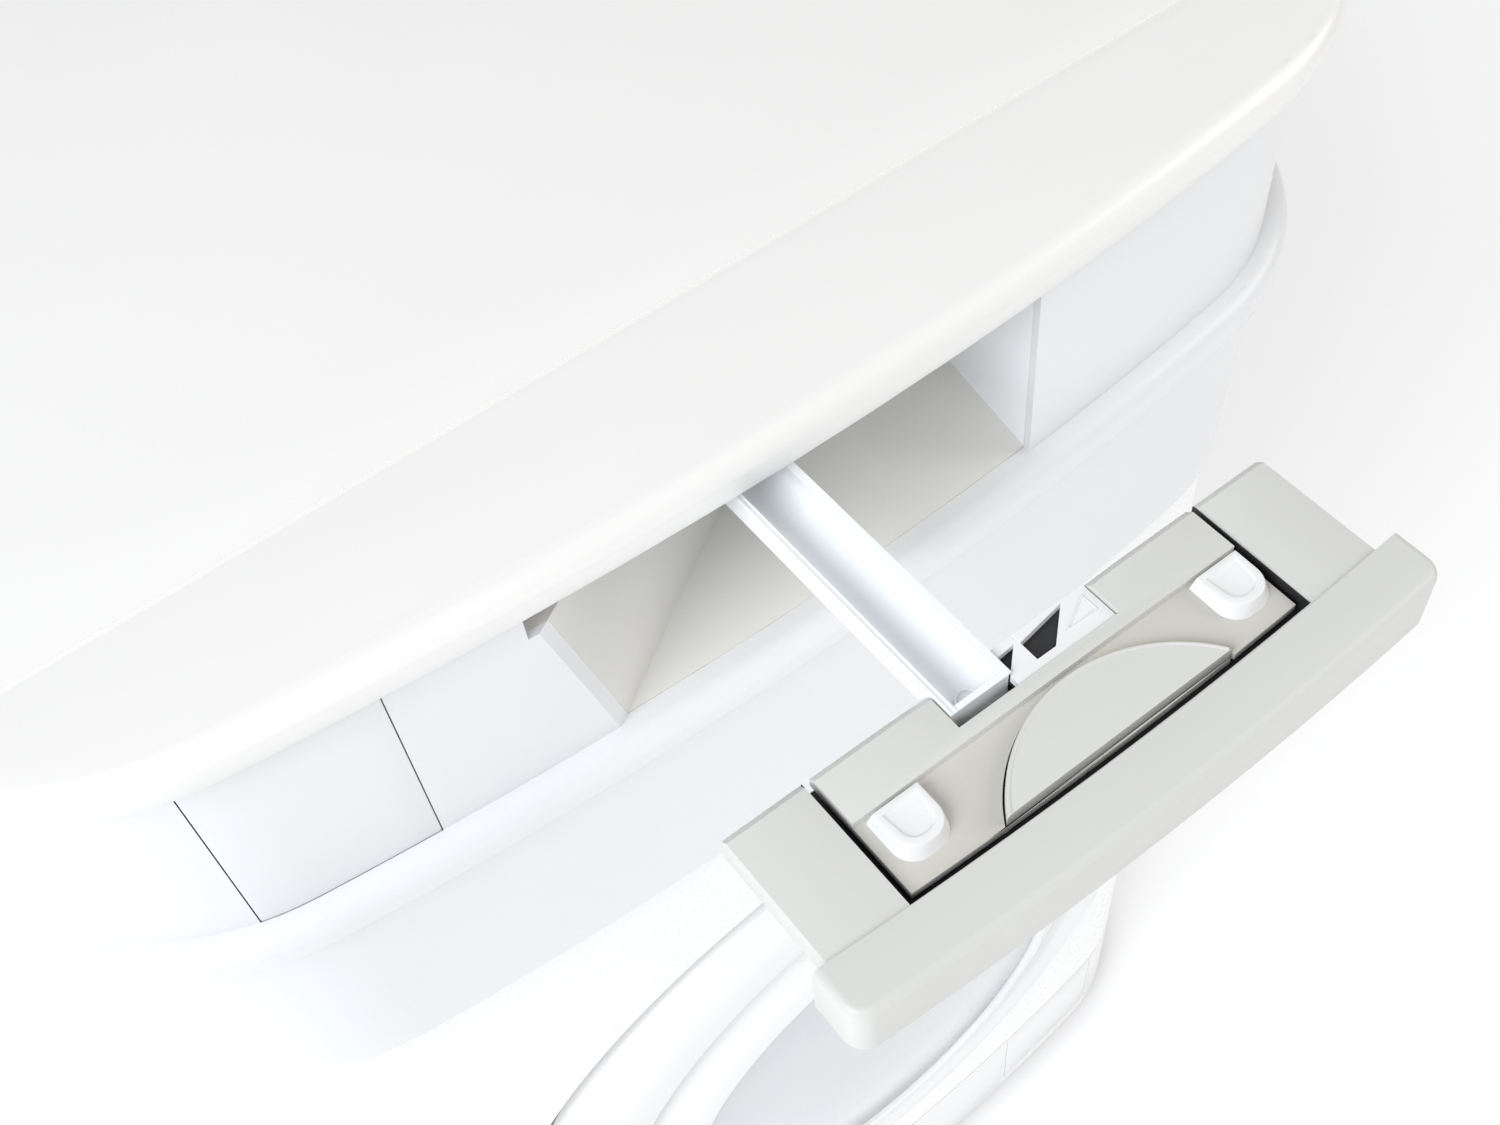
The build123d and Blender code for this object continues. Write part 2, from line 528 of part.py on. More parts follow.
def body_shell(inset, low, high, thickness):
    """Bowed tube of sheet that follows the cabinet's outline."""
    with BuildSketch(Plane.XY.offset(low)) as outer:
        bowed_outline(BODY_HALF - inset, BODY_CORNER - inset, BODY_FRONT + inset, REAR)
    extrude(outer.sketch, amount=high - low)
    grown = inset + thickness
    with BuildSketch(Plane.XY.offset(low)) as inner:
        bowed_outline(BODY_HALF - grown, BODY_CORNER - grown, BODY_FRONT + grown, THROUGH)
    extrude(inner.sketch, amount=high - low, mode=Mode.SUBTRACT)


with BuildPart() as front_panel:
    body_shell(0, PANEL_LOW, BODY_TOP, SHEET)
    block((-HALF_WIDTH, HALF_WIDTH), (CORNER_END - 0.3, DEPTH), (0, HEIGHT), mode=Mode.SUBTRACT)
    bar(0, AXIS_Z, (0, SEAT_DEPTH), SEAT_R, mode=Mode.SUBTRACT)
    ring((BODY_FRONT, SEAT_DEPTH + SHEET), SEAT_R, SEAT_R + SHEET)
    with BuildSketch(Plane.XY.offset(PANEL_LOW)) as outside:
        bowed_outline(BODY_HALF, BODY_CORNER, BODY_FRONT, THROUGH)
    extrude(outside.sketch, amount=BODY_TOP - PANEL_LOW, mode=Mode.INTERSECT)
    ring((SEAT_DEPTH, SEAT_DEPTH + SHEET), MOUTH_R, SEAT_R + SHEET)
    block(HOOK_SLOT, (SEAT_DEPTH - 3, SEAT_DEPTH + 5), (AXIS_Z - 8, AXIS_Z + 8), mode=Mode.SUBTRACT)
    for low in KNUCKLE_LOWS:
        knuckle = (low - 0.5, low + KNUCKLE_TALL + 0.5)
        block((PIVOT_X - 5.5, PIVOT_X + 3.5), (20, 45), knuckle, mode=Mode.SUBTRACT)
finish(front_panel, "front_panel")

with BuildPart() as side_sheets:
    for hand in (-1, 1):
        wall = sorted((hand * (BODY_HALF - SHEET), hand * BODY_HALF))
        flange = sorted((hand * (BODY_HALF - 14), hand * BODY_HALF))
        block(wall, (CORNER_END, REAR), (TRAY_LOW + 5, BODY_TOP))
        block(flange, (REAR - 1 - SHEET, REAR - 1), (TRAY_LOW + 5, BODY_TOP))
finish(side_sheets, "side_sheets")

VALVE_X = -170.0
VALVE_Z = 700.0
DRAIN_X = 215.0
DRAIN_Z = 640.0
GLAND_X = 120.0
with BuildPart() as rear_panel:
    half = BODY_HALF - SHEET - 0.3
    hood_half = BAND_HALF - WALL - 1
    outline = [(half, 50), (half, BODY_TOP + 1), (half + 3, BODY_TOP + 2)]
    outline += [(hood_half, RIDGE_LOW), (hood_half, LID_LOW - 2)]
    mirrored = [(-x, z) for x, z in reversed(outline)]
    front_prism(outline + mirrored, (REAR - 1, REAR + SHEET - 1))
    bar(0, AXIS_Z, (REAR - 5, REAR + 5), 175, mode=Mode.SUBTRACT)
    ring((REAR + 2, REAR + 3.2), 0, 176)
    ring((REAR - 1, REAR + 3.2), 175, 176.2)
    bar(VALVE_X, VALVE_Z, (REAR - 5, REAR + 5), 16.5, mode=Mode.SUBTRACT)
    bar(DRAIN_X, DRAIN_Z, (REAR - 5, REAR + 5), 12, mode=Mode.SUBTRACT)
    bar(GLAND_X, VALVE_Z, (REAR - 5, REAR + 5), 9, mode=Mode.SUBTRACT)
finish(rear_panel, "rear_panel")

with BuildPart() as base_tray:
    with BuildSketch(Plane.XY.offset(TRAY_LOW)):
        bowed_outline(BODY_HALF - 4, BODY_CORNER - 4, BODY_FRONT + 5, REAR - 4)
    extrude(amount=45)
    with BuildSketch(Plane.XY.offset(TRAY_LOW + 3)):
        bowed_outline(BODY_HALF - 7, BODY_CORNER - 7, BODY_FRONT + 8, REAR - 7)
    extrude(amount=60, mode=Mode.SUBTRACT)
    for x in (-FOOT_X, FOOT_X):
        for depth in FOOT_DEPTHS:
            post(x, depth, (TRAY_LOW, TRAY_LOW + 12), 12)
            post(x, depth, (TRAY_LOW - 5, TRAY_LOW + 20), 5.05, mode=Mode.SUBTRACT)
    bar(PUMP_X, PUMP_Z, (0, 40), 33, mode=Mode.SUBTRACT)
finish(base_tray, "base_tray")

FLAP_HALF = 42.0
with BuildPart() as kick_plate:
    body_shell(0, 18, KICK_TOP, 2.5)
    block((-HALF_WIDTH, HALF_WIDTH), (CORNER_END - 0.3, DEPTH), (0, HEIGHT), mode=Mode.SUBTRACT)
    hole = (PUMP_X - FLAP_HALF, PUMP_X + FLAP_HALF)
    block(hole, (0, 60), (28, KICK_TOP - 4), mode=Mode.SUBTRACT)
finish(kick_plate, "kick_plate")

with BuildPart() as filter_flap:
    body_shell(0, 29, KICK_TOP - 5, 2.0)
    cover = (PUMP_X - FLAP_HALF + 0.6, PUMP_X + FLAP_HALF - 0.6)
    block(cover, (0, 60), (29, KICK_TOP - 5), mode=Mode.INTERSECT)
finish(filter_flap, "filter_flap")

# adjustable feet: pad, hexagon and threaded stem
places = [(x, depth) for depth in FOOT_DEPTHS for x in (-FOOT_X, FOOT_X)]
for name, place in zip(("front_left", "front_right", "rear_left", "rear_right"), places):
    with BuildPart() as foot:
        post(*place, (0, 9), 20)
        fillet(edges().group_by(Axis.Z)[0], 2)
        with BuildSketch(Plane.XY.offset(9)):
            with Locations((place[0], FRONT + place[1])):
                RegularPolygon(9, 6)
        extrude(amount=9)
        post(*place, (18, TRAY_LOW + 25), 5)
    finish(foot, f"foot_{name}")

with BuildPart() as cabinet_fasteners:
    with BuildSketch(Plane.XY.offset(TRAY_LOW - 7)) as nuts:
        with Locations(*[(x, FRONT + depth) for x, depth in places]):
            RegularPolygon(9, 6)
            Circle(5.05, mode=Mode.SUBTRACT)
    extrude(nuts.sketch, amount=6.5)
    for x in (-255, 255):
        for z in (90, 330, 560, 790):
            bar(x, z, (REAR + 0.3, REAR + 3), 5)
finish(cabinet_fasteners, "cabinet_fasteners")

# ---- door ---------------------------------------------------------------------
DOOR_R = 197.0
DOOR_BACK = 26.0
WINDOW_R = 118.0
ARM_END = -172.0
ARM_DEPTHS = (19.5, 25.5)
ARM_HALF = 32.0

with BuildPart() as door_frame:
    face = [(9, 148), (3, 156), (2, 172), (6, 186), (14, 194), (DOOR_BACK, DOOR_R)]
    turned(face + [(DOOR_BACK, 178), (15, 174), (13, 148)])
    block((DOOR_R - 46, DOOR_R + 5), (-5, 40), (AXIS_Z - 48, AXIS_Z + 48), mode=Mode.SUBTRACT)
    arm = (-DOOR_R - 3, ARM_END)
    block(arm, (ARM_DEPTHS[0], 30), (AXIS_Z - ARM_HALF, AXIS_Z + ARM_HALF), mode=Mode.SUBTRACT)
finish(door_frame, "door_frame")

with BuildPart() as door_cover:
    dome = [(8.6, 147.6), (2, 140), (-4, 126), (-4, WINDOW_R)]
    turned(dome + [(0, WINDOW_R), (3, 124), (7, 136), (13, 147.6)])
finish(door_cover, "door_cover")

with BuildPart() as door_window:
    turned([(-5, 0), (-4, 60), (-1.5, WINDOW_R - 0.4), (1, WINDOW_R - 0.4), (-1.5, 60), (-2.5, 0)])
finish(door_window, "door_window")

with BuildPart() as door_inner_ring:
    turned([(DOOR_BACK, 136), (DOOR_BACK, 177.5), (DOOR_BACK - 9, 173), (DOOR_BACK - 9, 136)])
    block((162, 182), (10, 30), (AXIS_Z - 6, AXIS_Z + 6), mode=Mode.SUBTRACT)
    block((-182, ARM_END), (ARM_DEPTHS[0], 30), (AXIS_Z - ARM_HALF, AXIS_Z + ARM_HALF), mode=Mode.SUBTRACT)
finish(door_inner_ring, "door_inner_ring")

with BuildPart() as door_bowl:
    outer = [(20, 135.6), (30, 132), (60, 116), (92, 104), (97, 96), (97, 0)]
    inner = [(92, 0), (92, 93), (88, 99), (58, 111), (30, 126), (26, 128), (20, 128)]
    turned(outer + inner)
finish(door_bowl, "door_bowl")

with BuildPart() as door_handle:
    turned([(4, 153), (3, 172), (7, 186), (15, 193.5), (20, 193.5), (20, 178), (14, 174), (14, 153)])
    block((DOOR_R - 45, DOOR_R + 5), (-5, 40), (AXIS_Z - 47, AXIS_Z + 47), mode=Mode.INTERSECT)
finish(door_handle, "door_handle")

HOOK_X = 170.0
with BuildPart() as latch_hook:
    block((HOOK_X - 3, HOOK_X + 3), (14, 50), (AXIS_Z - 5, AXIS_Z + 5))
    block((HOOK_X - 8, HOOK_X - 3), (44, 50), (AXIS_Z - 5, AXIS_Z + 5))
finish(latch_hook, "latch_hook")

KNUCKLE_R = 6.0
PIN_R = 3.0
with BuildPart() as hinge_bracket:
    for low in KNUCKLE_LOWS:
        post(PIVOT_X, PIVOT_DEPTH, (low, low + KNUCKLE_TALL), KNUCKLE_R)
        block((PIVOT_X - 5, PIVOT_X + 3), (PIVOT_DEPTH, SEAT_DEPTH + 5), (low, low + KNUCKLE_TALL))
        post(PIVOT_X, PIVOT_DEPTH, (low - 1, low + KNUCKLE_TALL + 1), PIN_R, mode=Mode.SUBTRACT)
    block((PIVOT_X - 5, PIVOT_X + 6), (SEAT_DEPTH + 5, SEAT_DEPTH + 8), (AXIS_Z - 55, AXIS_Z + 55))
finish(hinge_bracket, "hinge_bracket")

with BuildPart() as hinge_pins:
    post(PIVOT_X, PIVOT_DEPTH, (AXIS_Z - 46, AXIS_Z + 46), PIN_R)
    hinge_rod(-HINGE_LENGTH / 2 + 2, HINGE_LENGTH - 4, HINGE_R)
finish(hinge_pins, "hinge_pins")

with BuildPart() as hinge_arm:
    post(PIVOT_X, PIVOT_DEPTH, (AXIS_Z - ARM_HALF, AXIS_Z + ARM_HALF), KNUCKLE_R)
    block((PIVOT_X - 4, -DOOR_R - 3), (PIVOT_DEPTH, ARM_DEPTHS[1]), (AXIS_Z - ARM_HALF, AXIS_Z + ARM_HALF))
    block((PIVOT_X - 4, ARM_END), ARM_DEPTHS, (AXIS_Z - ARM_HALF, AXIS_Z + ARM_HALF))
    post(PIVOT_X, PIVOT_DEPTH, (AXIS_Z - 33, AXIS_Z + 33), PIN_R + 0.05, mode=Mode.SUBTRACT)
finish(hinge_arm, "hinge_arm")

with BuildPart() as door_lock:
    block((185, 212), (SEAT_DEPTH + 8, SEAT_DEPTH + 34), (AXIS_Z - 35, AXIS_Z + 35))
    block((160.5, 186), (SEAT_DEPTH + 8, SEAT_DEPTH + 11), (AXIS_Z - 14, AXIS_Z + 14))
    block((161.5, 184), (SEAT_DEPTH, SEAT_DEPTH + 20), (AXIS_Z - 8, AXIS_Z + 8), mode=Mode.SUBTRACT)
finish(door_lock, "door_lock")

# ---- tub, drum and drive ------------------------------------------------------
TUB_FRONT = 84.0
TUB_SPLIT = 250.0
TUB_BACK = 424.0
TUB_WALL = 4.0
LIP_R = 130.0             # tub mouth, where the gasket grips
PULLEY_DEPTH = 470.0
PULLEY_R = 140.0
MOTOR_PULLEY_R = 11.0
LUG_X = 206.0
SPRING_FOOT = 535.0
SPRING_TOP = 680.0

with BuildPart() as door_gasket:
    outer = [(32, 160), (44, 160), (46, 134), (53, 134), (56, 156), (76, 156), (80, 129.6), (96, 129.6)]
    inner = [(96, 127), (78, 127), (74, 153.5), (58.5, 153.5)]
    turned(outer + inner + [(55, 131.5), (43.5, 131.5), (41.5, 157.5), (32, 157.5)])
finish(door_gasket, "door_gasket")

with BuildPart() as tub_front:
    shell = [(TUB_FRONT, LIP_R), (TUB_FRONT, TUB_R - 8), (TUB_FRONT + 8, TUB_R), (TUB_SPLIT, TUB_R)]
    room = [(TUB_SPLIT, TUB_R - TUB_WALL), (TUB_FRONT + 10, TUB_R - TUB_WALL), (TUB_FRONT + 5, LIP_R + 30)]
    turned(shell + room + [(TUB_FRONT + 11, LIP_R)])
    ring((TUB_SPLIT - 4, TUB_SPLIT), TUB_R - 1, TUB_R + 8)
finish(tub_front, "tub_front")

with BuildPart() as tub_rear:
    hub = [(TUB_SPLIT, TUB_R), (TUB_BACK, TUB_R), (TUB_BACK, 60), (TUB_BACK + 32, 42), (TUB_BACK + 32, 26)]
    inside = TUB_R - TUB_WALL
    turned(hub + [(TUB_BACK - 12, 26), (TUB_BACK - 12, 60), (TUB_BACK - 5, inside), (TUB_SPLIT, inside)])
    ring((TUB_SPLIT + 0.2, TUB_SPLIT + 4.2), TUB_R - 1, TUB_R + 8)
    for angle in range(0, 360, 45):
        spoke = radians(angle + 22.5)
        place = (141 * cos(spoke), FRONT + TUB_BACK + 5, AXIS_Z + 141 * sin(spoke))
        with Locations(Location(place, (0, -angle - 22.5, 0))):
            Box(176, 12, 5)
    for x in (-LUG_X, LUG_X):
        block((x - 12, x + 12), (TUB_SPLIT + 10, TUB_SPLIT + 40), (AXIS_Z + 128, SPRING_FOOT))
        block((x - 8, x + 8), (TUB_SPLIT + 10, TUB_SPLIT + 40), (AXIS_Z - 190, AXIS_Z - 125))
    post(0, 300, (AXIS_Z - TUB_R - 14, AXIS_Z - TUB_R + 4), 20)
    post(0, 300, (AXIS_Z - TUB_R - 15, AXIS_Z - TUB_R + 6), 16, mode=Mode.SUBTRACT)
finish(tub_rear, "tub_rear")

with BuildPart() as drum_shell:
    outer = [(DRUM_FRONT, 122), (DRUM_FRONT, 196), (DRUM_FRONT + 12, DRUM_R), (DRUM_BACK, DRUM_R)]
    inner = [(DRUM_BACK, DRUM_R - 1), (DRUM_FRONT + 13, DRUM_R - 1), (DRUM_FRONT + 1, 195)]
    turned(outer + inner + [(DRUM_FRONT + 1, 124), (DRUM_FRONT + 5, 124), (DRUM_FRONT + 5, 122)])
    plate = [(DRUM_BACK, DRUM_R), (DRUM_BACK + 2, DRUM_R), (DRUM_BACK + 2, 90), (DRUM_BACK - 7, 60)]
    turned(plate + [(DRUM_BACK - 7, 0), (DRUM_BACK - 9, 0), (DRUM_BACK - 9, 60), (DRUM_BACK, 91)])
finish(drum_shell, "drum_shell")

LIFTER_TALL = 46.0
with BuildPart() as drum_lifters:
    foot_r = DRUM_R - 1.2
    for angle in (90, 210, 330):
        turn = radians(angle)
        across = Plane(
            origin=(0, FRONT + DRUM_FRONT + 40, AXIS_Z),
            x_dir=(-sin(turn), 0, cos(turn)),
            z_dir=(0, 1, 0),
        )
        with BuildSketch(across) as section:
            with BuildLine():
                base, tip = -foot_r + 3, -foot_r + LIFTER_TALL
                Polyline((-26, base), (-9, tip), (9, tip), (26, base), close=True)
            make_face()
            fillet(vertices().group_by(Axis.Y)[0], 6)
        extrude(section.sketch, amount=DRUM_BACK - DRUM_FRONT - 60)
finish(drum_lifters, "drum_lifters")

with BuildPart() as drum_spider:
    bar(0, AXIS_Z, (DRUM_BACK + 2.2, DRUM_BACK + 9), 40)
    bar(0, AXIS_Z, (DRUM_BACK + 8, PULLEY_DEPTH + 14), SHAFT_R)
    shaft_end = (0, FRONT + PULLEY_DEPTH + 13, AXIS_Z)
    with BuildSketch(Plane(origin=shaft_end, x_dir=(1, 0, 0), z_dir=(0, 1, 0))) as bolt:
        RegularPolygon(11, 6)
    extrude(bolt.sketch, amount=8)
    for angle in (90, 210, 330):
        spoke = radians(angle)
        place = (110 * cos(spoke), FRONT + DRUM_BACK + 6, AXIS_Z + 110 * sin(spoke))
        with Locations(Location(place, (0, -angle, 0))):
            Box(190, 7, 34)
finish(drum_spider, "drum_spider")

with BuildPart() as shaft_bearings:
    for depth in (TUB_BACK - 6, TUB_BACK + 16):
        ring((depth, depth + 14), SHAFT_R + 0.04, 25.9)
        for side in (depth - 1, depth + 12):
            ring((side, side + 3), 19, 22, mode=Mode.SUBTRACT)
finish(shaft_bearings, "shaft_bearings")

with BuildPart() as shaft_seal:
    ring((TUB_BACK - 11.8, TUB_BACK - 6.2), SHAFT_R + 0.06, 25.9)
finish(shaft_seal, "shaft_seal")

with BuildPart() as drum_pulley:
    ring((PULLEY_DEPTH, PULLEY_DEPTH + 12), SHAFT_R, 28)
    ring((PULLEY_DEPTH - 3, PULLEY_DEPTH + 15), PULLEY_R - 7, PULLEY_R)
    for angle in range(0, 360, 60):
        spoke = radians(angle)
        place = (80 * cos(spoke), FRONT + PULLEY_DEPTH + 6, AXIS_Z + 80 * sin(spoke))
        with Locations(Location(place, (0, -angle, 0))):
            Box(112, 6, 18)
finish(drum_pulley, "drum_pulley")

MOTOR_DEPTHS = (310.0, 440.0)
span = sqrt(MOTOR_X**2 + (AXIS_Z - MOTOR_Z) ** 2)
lean = degrees(atan((AXIS_Z - MOTOR_Z) / MOTOR_X))
spread = degrees(asin((PULLEY_R - MOTOR_PULLEY_R) / span))


def belt_outline(grow):
    """Open belt round both pulleys, in the current sketch."""
    large = PULLEY_R + 0.3 + grow
    small = MOTOR_PULLEY_R + 0.3 + grow
    ends = []
    for side in (1, -1):
        normal = radians(-lean + side * (90 - spread))
        toward = (cos(normal), sin(normal))
        ends.append(((large * toward[0], large * toward[1]),
                     (MOTOR_X + small * toward[0], MOTOR_Z - AXIS_Z + small * toward[1])))
    turn = radians(-lean)
    far = (-large * cos(turn), -large * sin(turn))
    near = (MOTOR_X + small * cos(turn), MOTOR_Z - AXIS_Z + small * sin(turn))
    with BuildLine() as loop:
        ThreePointArc(ends[0][0], far, ends[1][0])
        Line(ends[1][0], ends[1][1])
        ThreePointArc(ends[1][1], near, ends[0][1])
        Line(ends[0][1], ends[0][0])
    return make_face(loop.edges(), mode=Mode.PRIVATE)


with BuildPart() as drive_belt:
    belt_plane = Plane(origin=(0, FRONT + PULLEY_DEPTH, AXIS_Z), x_dir=(1, 0, 0), z_dir=(0, -1, 0))
    with BuildSketch(belt_plane) as loop_band:
        add(belt_outline(3.0))
        add(belt_outline(0), mode=Mode.SUBTRACT)
    extrude(loop_band.sketch, amount=-12)
finish(drive_belt, "drive_belt")

with BuildPart() as motor:
    ring(MOTOR_DEPTHS, 6.0, 48, MOTOR_X, MOTOR_Z)
    fillet(edges().filter_by(GeomType.CIRCLE).sort_by(Axis.Y)[0], 2)
    for angle in range(0, 360, 30):
        place = (MOTOR_X + 48 * cos(radians(angle)), FRONT + 375, MOTOR_Z + 48 * sin(radians(angle)))
        with Locations(Location(place, (0, -angle, 0))):
            Box(4, 90, 5)
    block((MOTOR_X - 64, MOTOR_X - 40), (330, 420), (MOTOR_Z - 20, MOTOR_Z + 8))
finish(motor, "motor")

with BuildPart() as motor_shaft:
    bar(MOTOR_X, MOTOR_Z, (MOTOR_DEPTHS[0] - 6, PULLEY_DEPTH + 16), 5.95)
    ring((PULLEY_DEPTH - 2, PULLEY_DEPTH + 14), 5, MOTOR_PULLEY_R, MOTOR_X, MOTOR_Z)
finish(motor_shaft, "motor_shaft")

with BuildPart() as counterweights:
    block((-125, 125), (130, 240), (AXIS_Z + 170, AXIS_Z + TUB_R + 62))
    fillet(edges().filter_by(Axis.Z), 10)
    bar(0, AXIS_Z, (100, 300), TUB_R + 0.4, mode=Mode.SUBTRACT)
    ring((TUB_FRONT - 26, TUB_FRONT - 0.3), 176, 226)
    block((-240, 240), (TUB_FRONT - 30, TUB_FRONT), (AXIS_Z - 60, AXIS_Z + 60), mode=Mode.SUBTRACT)
finish(counterweights, "counterweights")

with BuildPart() as heater:
    for x in (-20, 20):
        bar(x, AXIS_Z - 223, (TUB_BACK - 220, TUB_BACK - 7), 3.5)
    block((-23.5, 23.5), (TUB_BACK - 226, TUB_BACK - 219), (AXIS_Z - 226, AXIS_Z - 220))
finish(heater, "heater")

# ---- suspension ---------------------------------------------------------------
SPRING_DEPTH = TUB_SPLIT + 25
with BuildPart() as top_frame:
    for hand in (-1, 1):
        upright = sorted((hand * 272, hand * 274.6))
        shelf = sorted((hand * 190, hand * 274.6))
        block(upright, (135, REAR - 4), (AXIS_Z + 255, AXIS_Z + 290))
        block(shelf, (SPRING_DEPTH - 20, SPRING_DEPTH + 20), (SPRING_TOP, SPRING_TOP + 3))
        block(upright, (SPRING_DEPTH - 20, SPRING_DEPTH + 20), (AXIS_Z + 290, SPRING_TOP + 3))
    half = BAND_HALF - WALL - 1
    for depth in (140, 470):
        block((-half, half), (depth, depth + 30), (RIDGE_LOW + 4, RIDGE_LOW + 6))
        block((-half, half), (depth, depth + 2), (RIDGE_LOW + 4, RIDGE_LOW + 26))
finish(top_frame, "top_frame")

SPRING_WIRE = 2.0
with BuildPart() as tub_suspension:
    for x in (-LUG_X, LUG_X):
        with BuildLine() as coil:
            rise = SPRING_TOP - SPRING_FOOT - 6
            Helix(pitch=9, height=rise, radius=11, center=(x, FRONT + SPRING_DEPTH, SPRING_FOOT + 3))
        with BuildSketch(Plane(origin=coil.line @ 0, z_dir=coil.line % 0)) as wire:
            Circle(SPRING_WIRE)
        sweep(wire.sketch, path=coil.line)
        post(x, SPRING_DEPTH, (TRAY_LOW + 3, 128), 12)
        post(x, SPRING_DEPTH, (TRAY_LOW + 8, 130), 8.3, mode=Mode.SUBTRACT)
        post(x, SPRING_DEPTH, (66, AXIS_Z - 190), 8)
finish(tub_suspension, "tub_suspension")

# ---- water and electrics ------------------------------------------------------
with BuildPart() as drain_pump:
    ring((34, 112), 26, 31, PUMP_X, PUMP_Z)
    ring((112, 150), 0, 31, PUMP_X, PUMP_Z)
    bar(PUMP_X, PUMP_Z, (115, 147), 25, mode=Mode.SUBTRACT)
    bar(PUMP_X, PUMP_Z, (105, 120), 9, mode=Mode.SUBTRACT)
    bar(PUMP_X, PUMP_Z, (150, 190), 22)
    bar(PUMP_X, PUMP_Z, (146, 175), 2.05, mode=Mode.SUBTRACT)
    with Locations(Location((PUMP_X - 36, FRONT + 96, PUMP_Z), (0, 90, 0))):
        Cylinder(12.8, 18)
    post(PUMP_X + 14, 131, (PUMP_Z + 25, PUMP_Z + 50), 7.8)
finish(drain_pump, "drain_pump")

with BuildPart() as pump_impeller:
    bar(PUMP_X, PUMP_Z, (117, 174), 2.0)
    bar(PUMP_X, PUMP_Z, (142, 145), 20)
    for angle in (0, 60, 120):
        with Locations(Location((PUMP_X, FRONT + 132, PUMP_Z), (0, angle, 0))):
            Box(42, 20, 2)
finish(pump_impeller, "pump_impeller")

with BuildPart() as filter_cap:
    ring((30, 33.6), 0, 30, PUMP_X, PUMP_Z)
    ring((33.6, 80), 21, 25.6, PUMP_X, PUMP_Z)
    block((PUMP_X - 3, PUMP_X + 3), (27.4, 30.5), (PUMP_Z - 19, PUMP_Z + 19))
finish(filter_cap, "filter_cap")

with BuildPart() as water_hoses:
    sump_end = (PUMP_X - 45.2, 96, PUMP_Z)
    sump = [(0, 300, AXIS_Z - TUB_R - 14.2), (0, 300, PUMP_Z), (60, 96, PUMP_Z), sump_end]
    hose(sump, [20, 30], 15.6, 12.9)
    pump_top = (PUMP_X + 14, 131, PUMP_Z + 50.2)
    drain = [pump_top, (PUMP_X + 14, 131, 150), (250, 200, 165), (252, 500, 600), (DRAIN_X, 545, DRAIN_Z)]
    hose(drain + [(DRAIN_X, DEPTH, DRAIN_Z)], [25, 35, 60, 20], 10, 8)
    valve_end = (VALVE_X, REAR - 62.2, VALVE_Z)
    housing_end = (-24.5, HOUSING_BACK + 22.2, 772)
    hose([valve_end, (VALVE_X, 460, VALVE_Z), (-24.5, 350, 772), housing_end], [40, 40], 9, 7)
finish(water_hoses, "water_hoses")

with BuildPart() as inlet_valve:
    block((VALVE_X - 18, VALVE_X + 18), (REAR - 45, REAR - 2), (VALVE_Z - 18, VALVE_Z + 18))
    bar(VALVE_X, VALVE_Z, (REAR - 2, REAR + 14), 13.2)
    bar(VALVE_X, VALVE_Z, (REAR - 20, REAR + 15), 9, mode=Mode.SUBTRACT)
    post(VALVE_X, REAR - 30, (VALVE_Z + 18, VALVE_Z + 34), 7)
    bar(VALVE_X, VALVE_Z, (REAR - 62, REAR - 45), 7)
finish(inlet_valve, "inlet_valve")

with BuildPart() as cord_gland:
    ring((REAR - 10, REAR + 13), 4.5, 8.8, GLAND_X, VALVE_Z)
    ring((REAR + 0.4, REAR + 4), 4.5, 13, GLAND_X, VALVE_Z)
finish(cord_gland, "cord_gland")
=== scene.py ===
import json
import math

import bmesh
import bpy
from mathutils import Matrix, Vector


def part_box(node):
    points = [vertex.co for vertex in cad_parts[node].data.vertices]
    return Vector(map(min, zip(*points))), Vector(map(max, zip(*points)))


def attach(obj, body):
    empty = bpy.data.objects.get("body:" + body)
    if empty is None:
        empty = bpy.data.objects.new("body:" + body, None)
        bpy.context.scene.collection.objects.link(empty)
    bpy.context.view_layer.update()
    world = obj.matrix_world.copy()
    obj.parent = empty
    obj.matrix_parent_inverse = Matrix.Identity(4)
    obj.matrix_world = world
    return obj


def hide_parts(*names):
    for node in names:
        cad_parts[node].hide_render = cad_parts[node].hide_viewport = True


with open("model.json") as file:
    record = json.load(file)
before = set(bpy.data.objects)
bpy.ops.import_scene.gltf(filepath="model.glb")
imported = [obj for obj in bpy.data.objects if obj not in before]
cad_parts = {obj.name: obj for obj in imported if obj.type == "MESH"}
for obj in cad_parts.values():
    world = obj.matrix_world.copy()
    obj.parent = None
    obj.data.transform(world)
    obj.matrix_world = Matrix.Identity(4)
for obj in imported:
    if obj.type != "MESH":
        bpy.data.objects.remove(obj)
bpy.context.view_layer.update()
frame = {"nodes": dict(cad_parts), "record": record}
NODES = frame["nodes"]
BODIES = frame["record"]["behaviour"]["bodies"]
BODY_OF = {node: body for body, nodes in BODIES.items() for node in nodes}
SLOT_OF = {part["node"]: part["material_slot"] for part in frame["record"]["subparts"]}

# Free-standing washing machine with its detergent drawer pulled out. Blender works in metres;
# the small parts are given in millimetres from the lid's low front edge.
MM = 0.001
LID_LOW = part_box("worktop")[0][2]
LID_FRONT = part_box("worktop")[0][1]


def depth(millimetres):
    """y of a distance measured back from the lid's front edge."""
    return LID_FRONT + millimetres * MM


def above(millimetres):
    """z of a height measured from the lid's low edge."""
    return LID_LOW + millimetres * MM


# ---- camera -----------------------------------------------------------------
CAMERA_PLACE = (-0.20145, depth(-275.36), above(405.7))
CAMERA_RIGHT = Vector((0.797495, -0.598216, -0.078355))
CAMERA_DOWN = Vector((-0.521247, -0.617766, -0.588784))
CAMERA_AHEAD = Vector((0.303815, 0.510394, -0.804484))
FIELD_OF_VIEW = math.radians(46.688)

